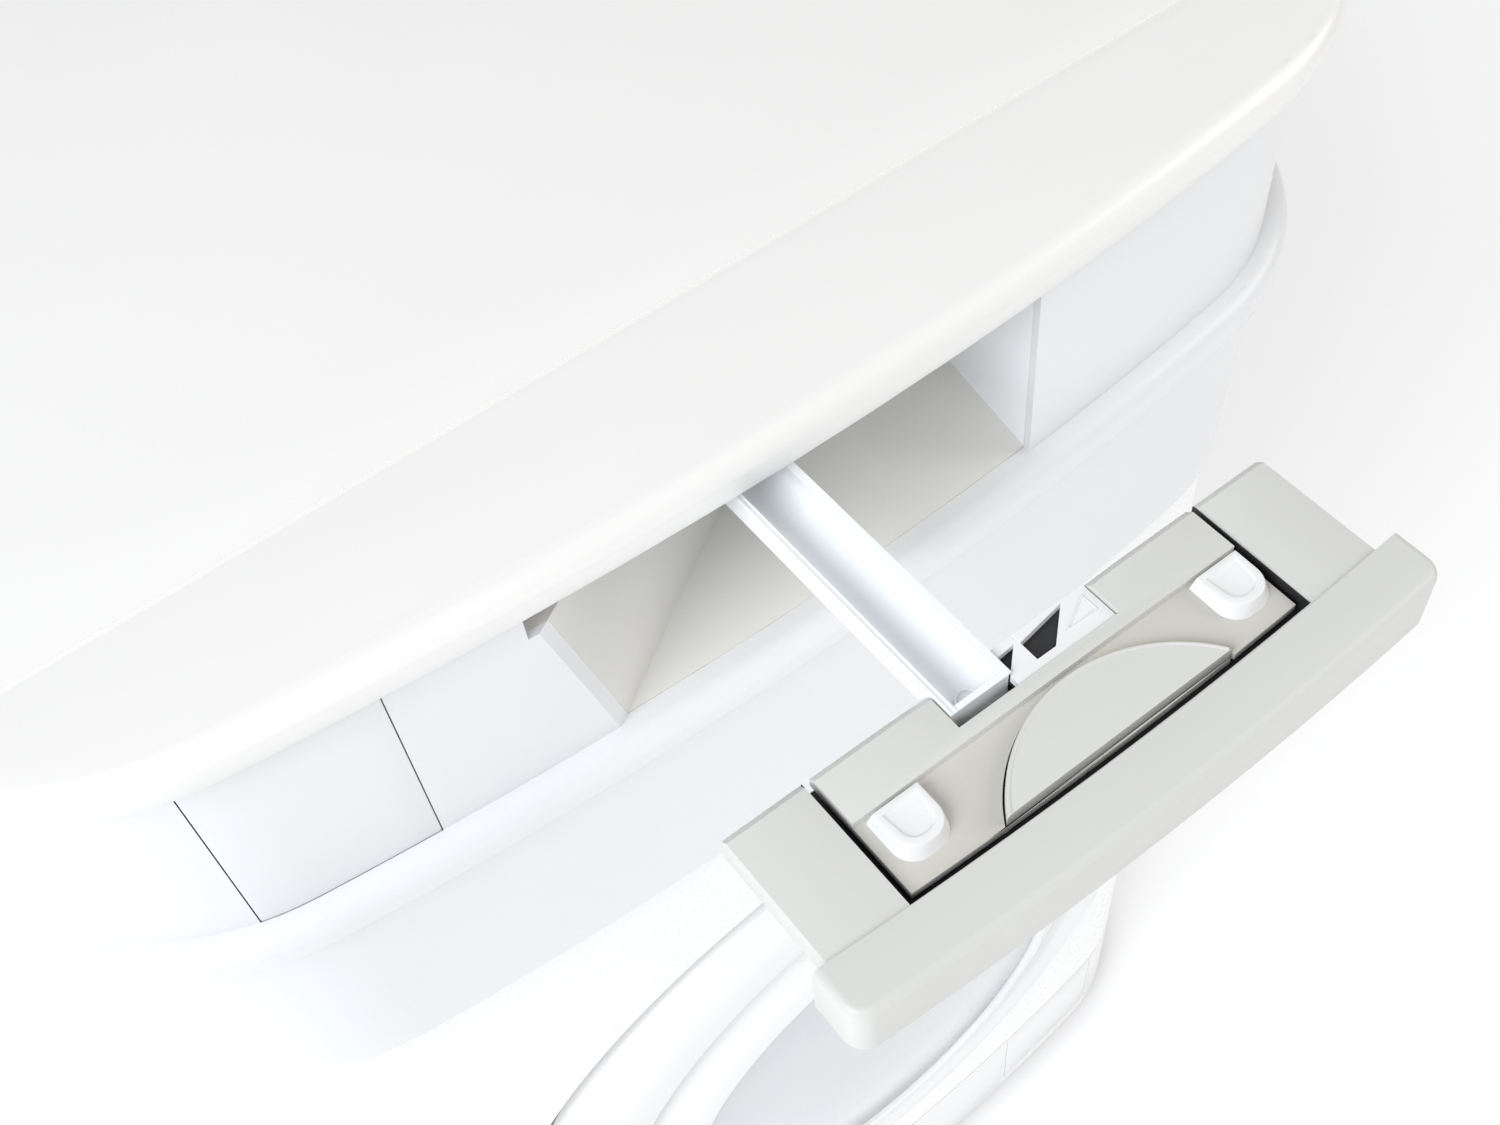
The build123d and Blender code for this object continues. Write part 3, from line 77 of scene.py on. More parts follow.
camera_data = bpy.data.cameras.new("camera")
camera_data.sensor_fit = "HORIZONTAL"
camera_data.angle = FIELD_OF_VIEW
camera_data.clip_start = 0.01
camera = bpy.data.objects.new("camera", camera_data)
bpy.context.scene.collection.objects.link(camera)
axes = Matrix((CAMERA_RIGHT, -CAMERA_DOWN, -CAMERA_AHEAD)).transposed().to_4x4()
camera.matrix_world = Matrix.Translation(CAMERA_PLACE) @ axes
bpy.context.scene.camera = camera

# ---- materials --------------------------------------------------------------
NOISE_SPAN = (0.3, 0.7)                # where nearly all of a noise's values lie
PAINTED_SHADE_DEPTH = (14.0, 62.0)             # millimetres behind the lid's edge, from no painted shade to full painted shade
PAINTED_SHADE_X = (0.045, -0.005)              # metres, from no painted shade to full painted shade
RIGHT_WALL_FACING = (-0.7, -0.95)      # x of the normal, from other walls to the right one, which gets the painted highlight
GRAIN_FINE = 0.00002                   # heights of the moulded grain, in metres
GRAIN_COARSE = 0.00003


def material(name, colour, roughness, metallic=0.0, coat=0.0):
    """New material with its principled shader."""
    made = bpy.data.materials.new(name)
    made.use_nodes = True
    made.diffuse_color = (*colour, 1)
    shader = made.node_tree.nodes["Principled BSDF"]
    shader.inputs["Base Color"].default_value = (*colour, 1)
    shader.inputs["Roughness"].default_value = roughness
    shader.inputs["Metallic"].default_value = metallic
    shader.inputs["Coat Weight"].default_value = coat
    shader.inputs["Coat Roughness"].default_value = 0.12
    return made, made.node_tree, shader


def coordinates(tree, stretch=(1, 1, 1)):
    """Object coordinates, stretched."""
    source = tree.nodes.new("ShaderNodeTexCoord")
    mapping = tree.nodes.new("ShaderNodeMapping")
    mapping.inputs["Scale"].default_value = stretch
    tree.links.new(source.outputs["Object"], mapping.inputs["Vector"])
    return mapping.outputs["Vector"]


def parted(tree, vector):
    """The x, y and z of a vector."""
    node = tree.nodes.new("ShaderNodeSeparateXYZ")
    tree.links.new(vector, node.inputs["Vector"])
    return node.outputs


def noise(tree, vector, scale, detail=4.0, rough=0.55):
    """Noise over the object."""
    node = tree.nodes.new("ShaderNodeTexNoise")
    node.inputs["Scale"].default_value = scale
    node.inputs["Detail"].default_value = detail
    node.inputs["Roughness"].default_value = rough
    tree.links.new(vector, node.inputs["Vector"])
    return node.outputs["Fac"]


def cells(tree, vector, scale, randomness=1.0):
    """Voronoi cells over the object."""
    node = tree.nodes.new("ShaderNodeTexVoronoi")
    node.inputs["Scale"].default_value = scale
    node.inputs["Randomness"].default_value = randomness
    tree.links.new(vector, node.inputs["Vector"])
    return node.outputs


def remap(tree, value, source, target=(0.0, 1.0)):
    """Value carried from one range to another and held within it."""
    node = tree.nodes.new("ShaderNodeMapRange")
    node.inputs["From Min"].default_value = source[0]
    node.inputs["From Max"].default_value = source[1]
    node.inputs["To Min"].default_value = target[0]
    node.inputs["To Max"].default_value = target[1]
    tree.links.new(value, node.inputs["Value"])
    return node.outputs["Result"]


def ramp(tree, value, span, first, second):
    """Colour that goes from the first to the second over a span of values."""
    node = tree.nodes.new("ShaderNodeValToRGB")
    for element, position, colour in zip(node.color_ramp.elements, span, (first, second)):
        element.position = position
        element.color = (*colour, 1)
    tree.links.new(value, node.inputs["Fac"])
    return node.outputs["Color"]


def tint(tree, shader, value, first, second, span=NOISE_SPAN):
    """Base colour that drifts between two colours."""
    tree.links.new(ramp(tree, value, span, first, second), shader.inputs["Base Color"])


def shine(tree, shader, value, low, high):
    """Roughness that follows a noise."""
    tree.links.new(remap(tree, value, NOISE_SPAN, (low, high)), shader.inputs["Roughness"])


def relief(tree, shader, layers):
    """Bumps laid over each other: (height value, distance in metres, strength)."""
    normal = None
    for height, distance, strength in layers:
        bump = tree.nodes.new("ShaderNodeBump")
        bump.inputs["Distance"].default_value = distance
        bump.inputs["Strength"].default_value = strength
        tree.links.new(height, bump.inputs["Height"])
        if normal:
            tree.links.new(normal, bump.inputs["Normal"])
        normal = bump.outputs["Normal"]
    tree.links.new(normal, shader.inputs["Normal"])


def shaded(colour, factor, lift=0.0):
    """Colour made lighter or darker, no channel above 1."""
    return tuple(min(1.0, c * factor + lift) for c in colour)


def moulded(name, colour, roughness, drift=0.015, grain=900.0, height=GRAIN_COARSE, coat=0.0):
    """Moulded plastic: slow colour drift, spark-eroded grain and faint flow waves."""
    made, tree, shader = material(name, colour, roughness, coat=coat)
    vector = coordinates(tree)
    slow = noise(tree, vector, 7.0, 3.0)
    fine = noise(tree, vector, grain, 2.0)
    scuffs = noise(tree, vector, 60.0, 6.0, 0.7)
    darker = tuple(max(0.0, c - drift) for c in colour)
    lighter = tuple(min(1.0, c + drift) for c in colour)
    tint(tree, shader, slow, darker, lighter)
    shine(tree, shader, scuffs, roughness - 0.05, roughness + 0.07)
    relief(tree, shader, [(slow, 0.0006, 0.10), (fine, height, 0.35)])
    return made


def recess_plastic(name):
    """White tray plastic with painted shade greying it to the back left, and a painted highlight
    whitening its right wall.
    """
    made, tree, shader = material(name, (0.8, 0.79, 0.76), 0.45)
    vector = coordinates(tree)
    position = parted(tree, vector)
    deep = remap(tree, position["Y"], (depth(PAINTED_SHADE_DEPTH[0]), depth(PAINTED_SHADE_DEPTH[1])))
    leftward = remap(tree, position["X"], PAINTED_SHADE_X)
    both = tree.nodes.new("ShaderNodeMath")
    both.operation = "MULTIPLY"
    tree.links.new(deep, both.inputs[0])
    tree.links.new(leftward, both.inputs[1])
    # painted shade: colour goes from white to grey deep under the lid and to the left
    painted_shade = ramp(tree, both.outputs[0], (0.0, 1.0), (0.78, 0.77, 0.74), (0.52, 0.52, 0.51))
    source = tree.nodes.new("ShaderNodeTexCoord")
    facing = parted(tree, source.outputs["Normal"])
    # painted highlight: walls that face left, as the right wall does, are coloured bluish near
    # white
    painted_highlight_mask = remap(tree, facing["X"], RIGHT_WALL_FACING)
    mixed = tree.nodes.new("ShaderNodeMix")
    mixed.data_type = "RGBA"
    tree.links.new(painted_highlight_mask, mixed.inputs["Factor"])
    tree.links.new(painted_shade, mixed.inputs[6])      # 6, 7 and output 2 are the mix's colours
    mixed.inputs[7].default_value = (0.95, 0.97, 1.0, 1)
    tree.links.new(mixed.outputs[2], shader.inputs["Base Color"])
    slow = noise(tree, vector, 7.0, 3.0)
    scuffs = noise(tree, vector, 60.0, 6.0, 0.7)
    fine = noise(tree, vector, 900.0, 2.0)
    shine(tree, shader, scuffs, 0.4, 0.52)
    relief(tree, shader, [(slow, 0.0006, 0.1), (fine, GRAIN_COARSE, 0.35)])
    return made


def painted(name, colour, roughness):
    """Enamelled sheet: orange-peel relief under a clear gloss."""
    made, tree, shader = material(name, colour, roughness, coat=0.35)
    vector = coordinates(tree)
    slow = noise(tree, vector, 4.0, 3.0)
    peel = noise(tree, vector, 320.0, 2.0)
    tint(tree, shader, slow, shaded(colour, 1.0, -0.012), shaded(colour, 1.0, 0.01))
    shine(tree, shader, peel, roughness - 0.04, roughness + 0.05)
    relief(tree, shader, [(slow, 0.0008, 0.08), (peel, 0.00004, 0.3)])
    return made


def brushed(name, colour, roughness, stretch=(1, 30, 30), scale=60.0):
    """Metal with fine lines along one direction."""
    made, tree, shader = material(name, colour, roughness, metallic=1.0)
    lines = noise(tree, coordinates(tree, stretch), scale, 6.0, 0.7)
    clouds = noise(tree, coordinates(tree), 14.0, 4.0)
    tint(tree, shader, clouds, shaded(colour, 0.9), shaded(colour, 1.06))
    shine(tree, shader, lines, roughness - 0.08, roughness + 0.1)
    relief(tree, shader, [(lines, 0.00004, 0.4)])
    return made


def galvanised(name):
    """Zinc-coated sheet with crystal spangles."""
    made, tree, shader = material(name, (0.62, 0.64, 0.66), 0.42, metallic=1.0)
    spangles = cells(tree, coordinates(tree), 240.0)
    grey = tree.nodes.new("ShaderNodeRGBToBW")
    tree.links.new(spangles["Color"], grey.inputs["Color"])
    tint(tree, shader, grey.outputs["Val"], (0.58, 0.60, 0.62), (0.68, 0.70, 0.72))
    shine(tree, shader, grey.outputs["Val"], 0.34, 0.5)
    relief(tree, shader, [(grey.outputs["Val"], 0.00004, 0.25)])
    return made


def rubber(name, colour):
    """Matt rubber with dust in its pores."""
    made, tree, shader = material(name, colour, 0.7)
    vector = coordinates(tree)
    pores = noise(tree, vector, 500.0, 3.0)
    dust = noise(tree, vector, 18.0, 6.0, 0.65)
    tint(tree, shader, dust, shaded(colour, 0.8), shaded(colour, 1.25, 0.01))
    shine(tree, shader, dust, 0.6, 0.8)
    relief(tree, shader, [(pores, 0.00006, 0.5)])
    return made


def perforated_steel(name):
    """Stainless sheet with a close pattern of small dark holes."""
    steel = (0.66, 0.67, 0.69)
    made, tree, shader = material(name, steel, 0.25, metallic=1.0)
    holes = cells(tree, coordinates(tree), 75.0, randomness=0.0)["Distance"]
    tint(tree, shader, holes, (0.03, 0.03, 0.03), steel, span=(0.22, 0.27))
    lines = noise(tree, coordinates(tree, (30, 1, 30)), 40.0, 5.0)
    shine(tree, shader, lines, 0.18, 0.34)
    relief(tree, shader, [(holes, 0.0003, 0.2)])
    return made


def concrete(name):
    """Cast concrete: clouds, grit and pores."""
    made, tree, shader = material(name, (0.42, 0.41, 0.39), 0.9)
    vector = coordinates(tree)
    clouds = noise(tree, vector, 12.0, 8.0, 0.7)
    grit = noise(tree, vector, 300.0, 4.0, 0.8)
    tint(tree, shader, clouds, (0.34, 0.33, 0.31), (0.52, 0.5, 0.47))
    relief(tree, shader, [(clouds, 0.002, 0.3), (grit, 0.0005, 0.6)])
    return made


def frosted(name):
    """Milky moulded window that lets a soft light through."""
    made, tree, shader = material(name, (0.87, 0.89, 0.91), 0.22, coat=0.4)
    haze = noise(tree, coordinates(tree), 9.0, 4.0)
    tint(tree, shader, haze, (0.84, 0.87, 0.9), (0.9, 0.92, 0.94))
    shine(tree, shader, haze, 0.18, 0.28)
    shader.inputs["Transmission Weight"].default_value = 0.3
    shader.inputs["IOR"].default_value = 1.46
    relief(tree, shader, [(haze, 0.0004, 0.1)])
    return made


def glossy_white(name, colour, roughness, drift, coat):
    """Moulded white plastic with the finer grain."""
    return moulded(name, colour, roughness, drift, 700.0, GRAIN_FINE, coat)


MATERIALS = {
    "white_lid": glossy_white("white_lid", (0.905, 0.895, 0.875), 0.36, 0.006, 0.25),
    "white_console": glossy_white("white_console", (0.83, 0.835, 0.85), 0.38, 0.008, 0.15),
    "grey_recess": recess_plastic("grey_recess"),
    "grey_plastic": moulded("grey_plastic", (0.42, 0.42, 0.42), 0.5),
    "drawer_plastic": moulded("drawer_plastic", (0.70, 0.70, 0.67), 0.42, 0.012, 1200.0),
    "white_plastic": glossy_white("white_plastic", (0.88, 0.88, 0.88), 0.34, 0.008, 0.2),
    "circuit_board": moulded("circuit_board", (0.03, 0.16, 0.07), 0.4),
    "enamel": painted("enamel", (0.94, 0.94, 0.94), 0.3),
    "galvanised": galvanised("galvanised"),
    "dark_plastic": moulded("dark_plastic", (0.03, 0.03, 0.033), 0.5, 0.006),
    "foot_plastic": moulded("foot_plastic", (0.022, 0.022, 0.022), 0.6, 0.006),
    "zinc": brushed("zinc", (0.62, 0.61, 0.58), 0.35),
    "window": frosted("window"),
    "grey_rubber": rubber("grey_rubber", (0.23, 0.235, 0.24)),
    "black_rubber": rubber("black_rubber", (0.02, 0.02, 0.02)),
    "tub_plastic": moulded("tub_plastic", (0.55, 0.56, 0.58), 0.55),
    "drum_steel": perforated_steel("drum_steel"),
    "cast_metal": brushed("cast_metal", (0.5, 0.51, 0.53), 0.5, (1, 1, 1), 220.0),
    "bearing_steel": brushed("bearing_steel", (0.6, 0.6, 0.62), 0.2),
    "motor_case": painted("motor_case", (0.06, 0.06, 0.07), 0.4),
    "concrete": concrete("concrete"),
}
# white trough plastic, brightened and blued past its own colour as painted light to offset the
# shade of the trough's walls
trough_lit_plastic = moulded(
    "trough_lit_plastic", (0.93, 0.955, 0.98), 0.3, 0.01, 900.0, GRAIN_FINE, coat=0.2
)
# darker beige of the insert's lowered part, painted shade for its recess
lowered_shade_plastic = moulded("lowered_shade_plastic", (0.62, 0.60, 0.55), 0.48, 0.01, 1200.0)
for name, node in NODES.items():
    node.data.materials.clear()
    node.data.materials.append(MATERIALS[SLOT_OF[name]])
# the trough takes the white plastic with painted light
NODES["detergent_trough"].data.materials[0] = trough_lit_plastic

# ---- rounded copies of CAD nodes --------------------------------------------
SMOOTH_BELOW = math.radians(35.0)      # edges flatter than this are shaded smooth
SHARP_ABOVE = math.radians(30.0)       # edges sharper than this are rounded on CAD nodes
CREASE_ABOVE = math.radians(40.0)      # and on small parts
FLAT_WITHIN = math.radians(0.3)        # faces closer than this are one flat face
WELD = 2e-6                            # metres between vertices that are the same one
LOWERED_BELOW = -8.0                   # the insert's upward faces under this are lowered and get painted shade


def edge_angle(edge):
    """Angle between an edge's two faces."""
    return edge.calc_face_angle(0.0)


def rounded(bm, edges, width, segments):
    """Round some edges of a bmesh, by a width in millimetres."""
    bmesh.ops.bevel(
        bm, geom=edges, offset=width * MM, segments=segments,
        profile=0.5, affect="EDGES", clamp_overlap=True,
    )


def piece(name, bm, body, slot):
    """Object from a bmesh, riding on a body with a slot's material."""
    mesh = bpy.data.meshes.new(name)
    for face in bm.faces:
        face.smooth = True
    for edge in bm.edges:
        if len(edge.link_faces) == 2:
            edge.smooth = edge_angle(edge) < SMOOTH_BELOW
    bm.to_mesh(mesh)
    bm.free()
    obj = bpy.data.objects.new(name, mesh)
    bpy.context.scene.collection.objects.link(obj)
    mesh.materials.append(MATERIALS[slot])
    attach(obj, body)
    return obj


def soften(node, width, merge=True):
    """Finer copy of a CAD node, with its sharp outer edges rounded, in the node's place."""
    bm = bmesh.new()
    bm.from_mesh(NODES[node].data)
    bmesh.ops.remove_doubles(bm, verts=bm.verts, dist=WELD)
    if merge:
        bmesh.ops.dissolve_limit(bm, angle_limit=FLAT_WITHIN, verts=bm.verts, edges=bm.edges)
    corners = [e for e in bm.edges if len(e.link_faces) == 2 and e.is_convex]
    rounded(bm, [e for e in corners if edge_angle(e) > SHARP_ABOVE], width, 3)
    made = piece(f"{node}_rounded", bm, BODY_OF[node], SLOT_OF[node])
    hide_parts(node)
    return made


SOFTENED = {
    "worktop": 0.12,
    "drawer_insert": 0.4,
    "release_press": 0.4,
    "control_flap": 0.35,
    "kick_plate": 0.6,
    "filter_flap": 0.5,
    "door_frame": 0.5,
    "door_cover": 0.5,
    "door_handle": 0.5,
    "door_window": 0.3,
    "counterweights": 3.0,
    "option_key": 0.4,
    "start_key": 0.4,
    "inlet_valve": 0.8,
    "drain_pump": 0.6,
    "motor": 0.6,
}
softened = {node: soften(node, width) for node, width in SOFTENED.items()}
soften("drawer_front", 0.6, merge=False)      # merged, its rounding leaves a dark triangle

# painted shade: the insert's lowered front part is coloured a step darker than the rest
insert_mesh = softened["drawer_insert"].data
insert_mesh.materials.append(lowered_shade_plastic)
for face in insert_mesh.polygons:
    if face.normal.z > 0.9 and face.center.z < above(LOWERED_BELOW):
        face.material_index = 1

# ---- small parts ------------------------------------------------------------
# x from the machine's middle, depths back from the lid's front edge and heights from its
# low edge, all in millimetres
BOW = 1620.0                           # radius of the bowed fronts
WING_TOP = -6.0
WELL_FLOOR = -16.0
PANEL_TOP = WING_TOP - 3.0


def place(x, back, height):
    """Point from millimetres: x, distance back from the lid's edge, height from its low edge."""
    return Vector((x * MM, depth(back), above(height)))


def steps(first, last, count):
    """Evenly spaced values from the first to the last."""
    return [first + (last - first) * i / count for i in range(count + 1)]


def circle(x, y, radius, count, start=0.0):
    """Evenly spaced points round a centre."""
    turn = [start + 2 * math.pi * i / count for i in range(count)]
    return [(x + radius * math.cos(t), y + radius * math.sin(t)) for t in turn]


def bow(x, middle=0.0):
    """How far a bowed front falls back at x, in millimetres."""
    return BOW - math.sqrt(BOW**2 - (x - middle) ** 2)


def prism(bm, outline, low, high):
    """Upright prism over an (x, depth) outline."""
    foot, head = [], []
    for x, back in outline:
        foot.append(bm.verts.new(place(x, back, low)))
        head.append(bm.verts.new(place(x, back, high)))
    sides = [
        bm.faces.new((foot[i - 1], foot[i], head[i], head[i - 1])) for i in range(len(outline))
    ]
    caps = [bm.faces.new(head), bm.faces.new(foot[::-1])]
    bmesh.ops.recalc_face_normals(bm, faces=sides + caps)


def slab(bm, xs, backs, heights):
    """Box between two x values, two depths and two heights."""
    corners = [(xs[0], backs[0]), (xs[1], backs[0]), (xs[1], backs[1]), (xs[0], backs[1])]
    prism(bm, corners, *heights)


def strip(bm, front, thickness, low, high):
    """Upright sheet whose front runs along (x, depth) points."""
    behind = [(x, back + thickness) for x, back in reversed(front)]
    prism(bm, front + behind, low, high)


def rod(bm, points, radius, sides=10, closed=False):
    """Round bar along a chain of points."""
    rings = []
    count = len(points)
    turn = circle(0.0, 0.0, 1.0, sides)
    for i, point in enumerate(points):
        before = points[i - 1] if i or closed else point
        after = points[(i + 1) % count] if closed or i < count - 1 else point
        ahead = (after - before).normalized()
        side = ahead.cross(Vector((0, 0, 1)))
        if side.length < 0.01:
            side = Vector((1, 0, 0))
        side.normalize()
        up = side.cross(ahead)
        rings.append([bm.verts.new(point + (side * a + up * b) * radius * MM) for a, b in turn])
    for i in range(count if closed else count - 1):
        first, second = rings[i], rings[(i + 1) % count]
        for k in range(sides):
            bm.faces.new((first[k - 1], first[k], second[k], second[k - 1]))
    if not closed:
        bm.faces.new(rings[0][::-1])
        bm.faces.new(rings[-1])
    bmesh.ops.recalc_face_normals(bm, faces=bm.faces)


def peg(bm, x, height, backs, radius, sides=10):
    """Round bar straight back between two depths."""
    rod(bm, [place(x, back, height) for back in backs], radius, sides)


def bevelled(bm, width, segments=2):
    """Round the sharp edges of everything in a bmesh."""
    creases = [e for e in bm.edges if len(e.link_faces) == 2 and edge_angle(e) > CREASE_ABOVE]
    rounded(bm, creases, width, segments)


# black sheet on the floor and walls of the drawer's well, painted shade for the dark gap round the
# insert
SHADE_SHEET_X = (-79.4, 67.5)
SHADE_SHEET_FRONT = -128.8                   # its front wall, at the middle of the bow
SHADE_SHEET_FLOOR_FRONT = -126.6
SHADE_SHEET_SIDE_FRONT = -126.8
SHADE_SHEET_BACK = -81.4
SHADE_SHEET_LOW = WELL_FLOOR + 0.05
SHADE_SHEET_TOP = WING_TOP - 1.6
SHADE_SHEET_FLOOR = (SHADE_SHEET_LOW, WELL_FLOOR + 0.3)
SHADE_SHEET_SIDE = 0.25                      # thickness of its side walls
SHADE_SHEET_WALL = 0.3                       # and of its front wall
CHANNEL = (-36.0, -13.0)               # the trough's channel through the floor
CHANNEL_BACK = -92.4
bm = bmesh.new()
for xs in ((SHADE_SHEET_X[0], CHANNEL[0]), (CHANNEL[1], SHADE_SHEET_X[1])):
    slab(bm, xs, (SHADE_SHEET_FLOOR_FRONT, SHADE_SHEET_BACK), SHADE_SHEET_FLOOR)
slab(bm, CHANNEL, (SHADE_SHEET_FLOOR_FRONT, CHANNEL_BACK), SHADE_SHEET_FLOOR)
for x in SHADE_SHEET_X:
    inward = SHADE_SHEET_SIDE if x < 0 else -SHADE_SHEET_SIDE
    slab(bm, sorted((x, x + inward)), (SHADE_SHEET_SIDE_FRONT, SHADE_SHEET_BACK), (SHADE_SHEET_LOW, SHADE_SHEET_TOP))
well_middle = (SHADE_SHEET_X[0] + SHADE_SHEET_X[1]) / 2
front_wall = [(x, SHADE_SHEET_FRONT + bow(x, well_middle)) for x in steps(*SHADE_SHEET_X, 12)]
strip(bm, front_wall, SHADE_SHEET_WALL, SHADE_SHEET_LOW, SHADE_SHEET_TOP)
piece("well_shade_sheet", bm, "drawer", "dark_plastic")

# plate with openings beside the trough
PLATE_LEFT = -13.4
PLATE_RIGHT = 23.2
PLATE_FRONT = -95.0
PLATE_BAR = -92.2                      # back of its front bar
PLATE_BACK = -81.4
PLATE_LOW = WING_TOP - 4.0
PLATE_TOP = WING_TOP - 1.4
TONGUE_RIGHT = -3.7
TONGUE_DROP = 0.3
WEB = ((9.5, -90.3), (20.4, -90.3), (20.4, -84.2))
RIM_RADIUS = 0.45
bm = bmesh.new()
# dark sheet under the plate: painted shade seen through its openings
shade_sheet_heights = (PLATE_LOW - 1.6, PLATE_LOW - 1.2)
slab(bm, (PLATE_LEFT, PLATE_RIGHT + 0.2), (PLATE_FRONT, PLATE_BACK), shade_sheet_heights)
piece("plate_shade_sheet", bm, "drawer", "dark_plastic")
bm = bmesh.new()
slab(bm, (PLATE_LEFT, PLATE_RIGHT), (PLATE_FRONT, PLATE_BAR), (PLATE_LOW, PLATE_TOP))
tongue = [
    (PLATE_LEFT, PLATE_BAR), (TONGUE_RIGHT, PLATE_BAR), (TONGUE_RIGHT, PLATE_BACK),
    (PLATE_LEFT, PLATE_BACK), (PLATE_LEFT, -84.7), (-5.4, -84.0), (PLATE_LEFT, -91.6),
]
prism(bm, tongue, PLATE_LOW, PLATE_TOP - TONGUE_DROP)
right_part = [
    (3.1, PLATE_BAR), (PLATE_RIGHT, PLATE_BAR), (PLATE_RIGHT, PLATE_BACK),
    (TONGUE_RIGHT, PLATE_BACK), (TONGUE_RIGHT, -85.0), (14.1, -82.2),
]
prism(bm, right_part, PLATE_LOW, PLATE_TOP)
plate = piece("notch_plate", bm, "drawer", "white_plastic")
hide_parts("trough_bracket")
bm = bmesh.new()
rod(bm, [place(x, back, PLATE_TOP) for x, back in WEB], RIM_RADIUS, closed=True)
piece("plate_web", bm, "drawer", "white_plastic")

# rims along the trough, and the round mark at its front end
TROUGH_RUN = (-91.2, 104.8)
LEFT_RIMS = (-34.5, -32.9)
RIGHT_RIM = (-14.1, -12.8)
MARK_CENTRE = (-23.6, -85.6)
MARK_RING = 3.5
MARK_RING_HEIGHT = -16.5
MARK_DISC = 2.6
MARK_DISC_HEIGHTS = (-17.6, -16.9)
bm = bmesh.new()
for x in LEFT_RIMS:
    peg(bm, x, WING_TOP, TROUGH_RUN, RIM_RADIUS)
slab(bm, RIGHT_RIM, TROUGH_RUN, (WING_TOP - 1.0, WING_TOP + 0.1))
rims = piece("trough_rims", bm, "drawer", "white_plastic")
bm = bmesh.new()
ring = [place(x, back, MARK_RING_HEIGHT) for x, back in circle(*MARK_CENTRE, MARK_RING, 32)]
rod(bm, ring, 0.4, closed=True)
prism(bm, circle(*MARK_CENTRE, MARK_DISC, 32), *MARK_DISC_HEIGHTS)
mark = piece("trough_boss", bm, "drawer", "white_plastic")
# the rims and mark take the trough's white plastic with painted light
for obj in (rims, mark):
    obj.data.materials[0] = trough_lit_plastic

# rim along the half-moon press
PRESS_MIDDLE = -2.5
PRESS_HALF = 41.5                      # half the chord
PRESS_CHORD = -124.4                   # depth of the chord
PRESS_REACH = 22.6                     # from the chord to the top of the arc
PRESS_R = (PRESS_HALF**2 + PRESS_REACH**2) / (2 * PRESS_REACH)
press_back = PRESS_CHORD + PRESS_REACH - PRESS_R
swing = math.asin(PRESS_HALF / PRESS_R) - 0.02
crest_r = PRESS_R - 0.9
bm = bmesh.new()
crest = [
    place(PRESS_MIDDLE + crest_r * math.sin(t), press_back + crest_r * math.cos(t), WING_TOP + 0.3)
    for t in steps(-swing, swing, 48)
]
rod(bm, crest, 0.7)
piece("press_rim", bm, "press", "drawer_plastic")

# clips with tall sloping sides and a square dip on top
CLIP_LEFTS = (-73.0, 46.0)
CLIP_SIZE = 18.0
CLIP_BACK = -101.0
CLIP_ROUND = 7.0
CLIP_SLOPE = (1.9, 0.6)                # inset of its top: front and left, back and right
CLIP_HEIGHTS = (PANEL_TOP - 0.2, PANEL_TOP + 4.2)
DIP_MARGIN = 2.6
DIP_WALL = 0.3
DIP_DEPTH = 0.7
bm = bmesh.new()
for left in CLIP_LEFTS:
    levels = []
    for (inset, lean), height in zip(((0.0, 0.0), CLIP_SLOPE), CLIP_HEIGHTS):
        right = left + CLIP_SIZE - lean
        round_back = CLIP_BACK - CLIP_SIZE + inset + CLIP_ROUND
        edge = [(right, CLIP_BACK - lean), (left + inset, CLIP_BACK - lean)]
        for round_x, start in ((left + inset + CLIP_ROUND, 180), (right - CLIP_ROUND, 270)):
            for t in steps(math.radians(start), math.radians(start + 90), 8):
                edge.append(
                    (round_x + CLIP_ROUND * math.cos(t), round_back + CLIP_ROUND * math.sin(t))
                )
        levels.append([bm.verts.new(place(x, back, height)) for x, back in edge])
    foot, head = levels
    sides = [
        bm.faces.new((foot[i - 1], foot[i], head[i], head[i - 1])) for i in range(len(foot))
    ]
    top = bm.faces.new(head)
    bmesh.ops.recalc_face_normals(bm, faces=sides + [top])
    bmesh.ops.inset_region(bm, faces=[top], thickness=DIP_MARGIN * MM, depth=0.0)
    bmesh.ops.inset_region(bm, faces=[top], thickness=DIP_WALL * MM, depth=-DIP_DEPTH * MM)
bevelled(bm, 0.35)
clips = piece("clip_caps", bm, "drawer", "white_plastic")
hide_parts("insert_clips")

# pressings, louvres, caps and screws on the back
FLOOR_DROP = -830.0                    # the floor, measured from the lid's low edge
REAR_FACE = 586.2
RIB = (REAR_FACE, REAR_FACE + 1.6)
LOUVRE = (REAR_FACE, REAR_FACE + 2.4)
LOUVRES_LOW = 78
LOUVRE_PITCH = 11
CAP = (REAR_FACE, REAR_FACE + 4)
CAP_GRIP = (REAR_FACE + 4, REAR_FACE + 6)
CAP_CENTRES = ((-150, 640), (60, 640), (-190, 120), (190, 120))      # x, height off the floor
CAP_RADIUS = 15.0
SCREW_HEAD = (REAR_FACE + 3, REAR_FACE + 5.5)
SCREW_RADIUS = 4.5
SCREW_CIRCLE = 167
COVER_HEIGHT = FLOOR_DROP + 345        # middle of the round rear cover
bm = bmesh.new()
for x in (-228, 216):
    slab(bm, (x, x + 12), RIB, (FLOOR_DROP + 150, FLOOR_DROP + 520))
for height in (560, 590):
    slab(bm, (-220, 180), RIB, (FLOOR_DROP + height, FLOOR_DROP + height + 10))
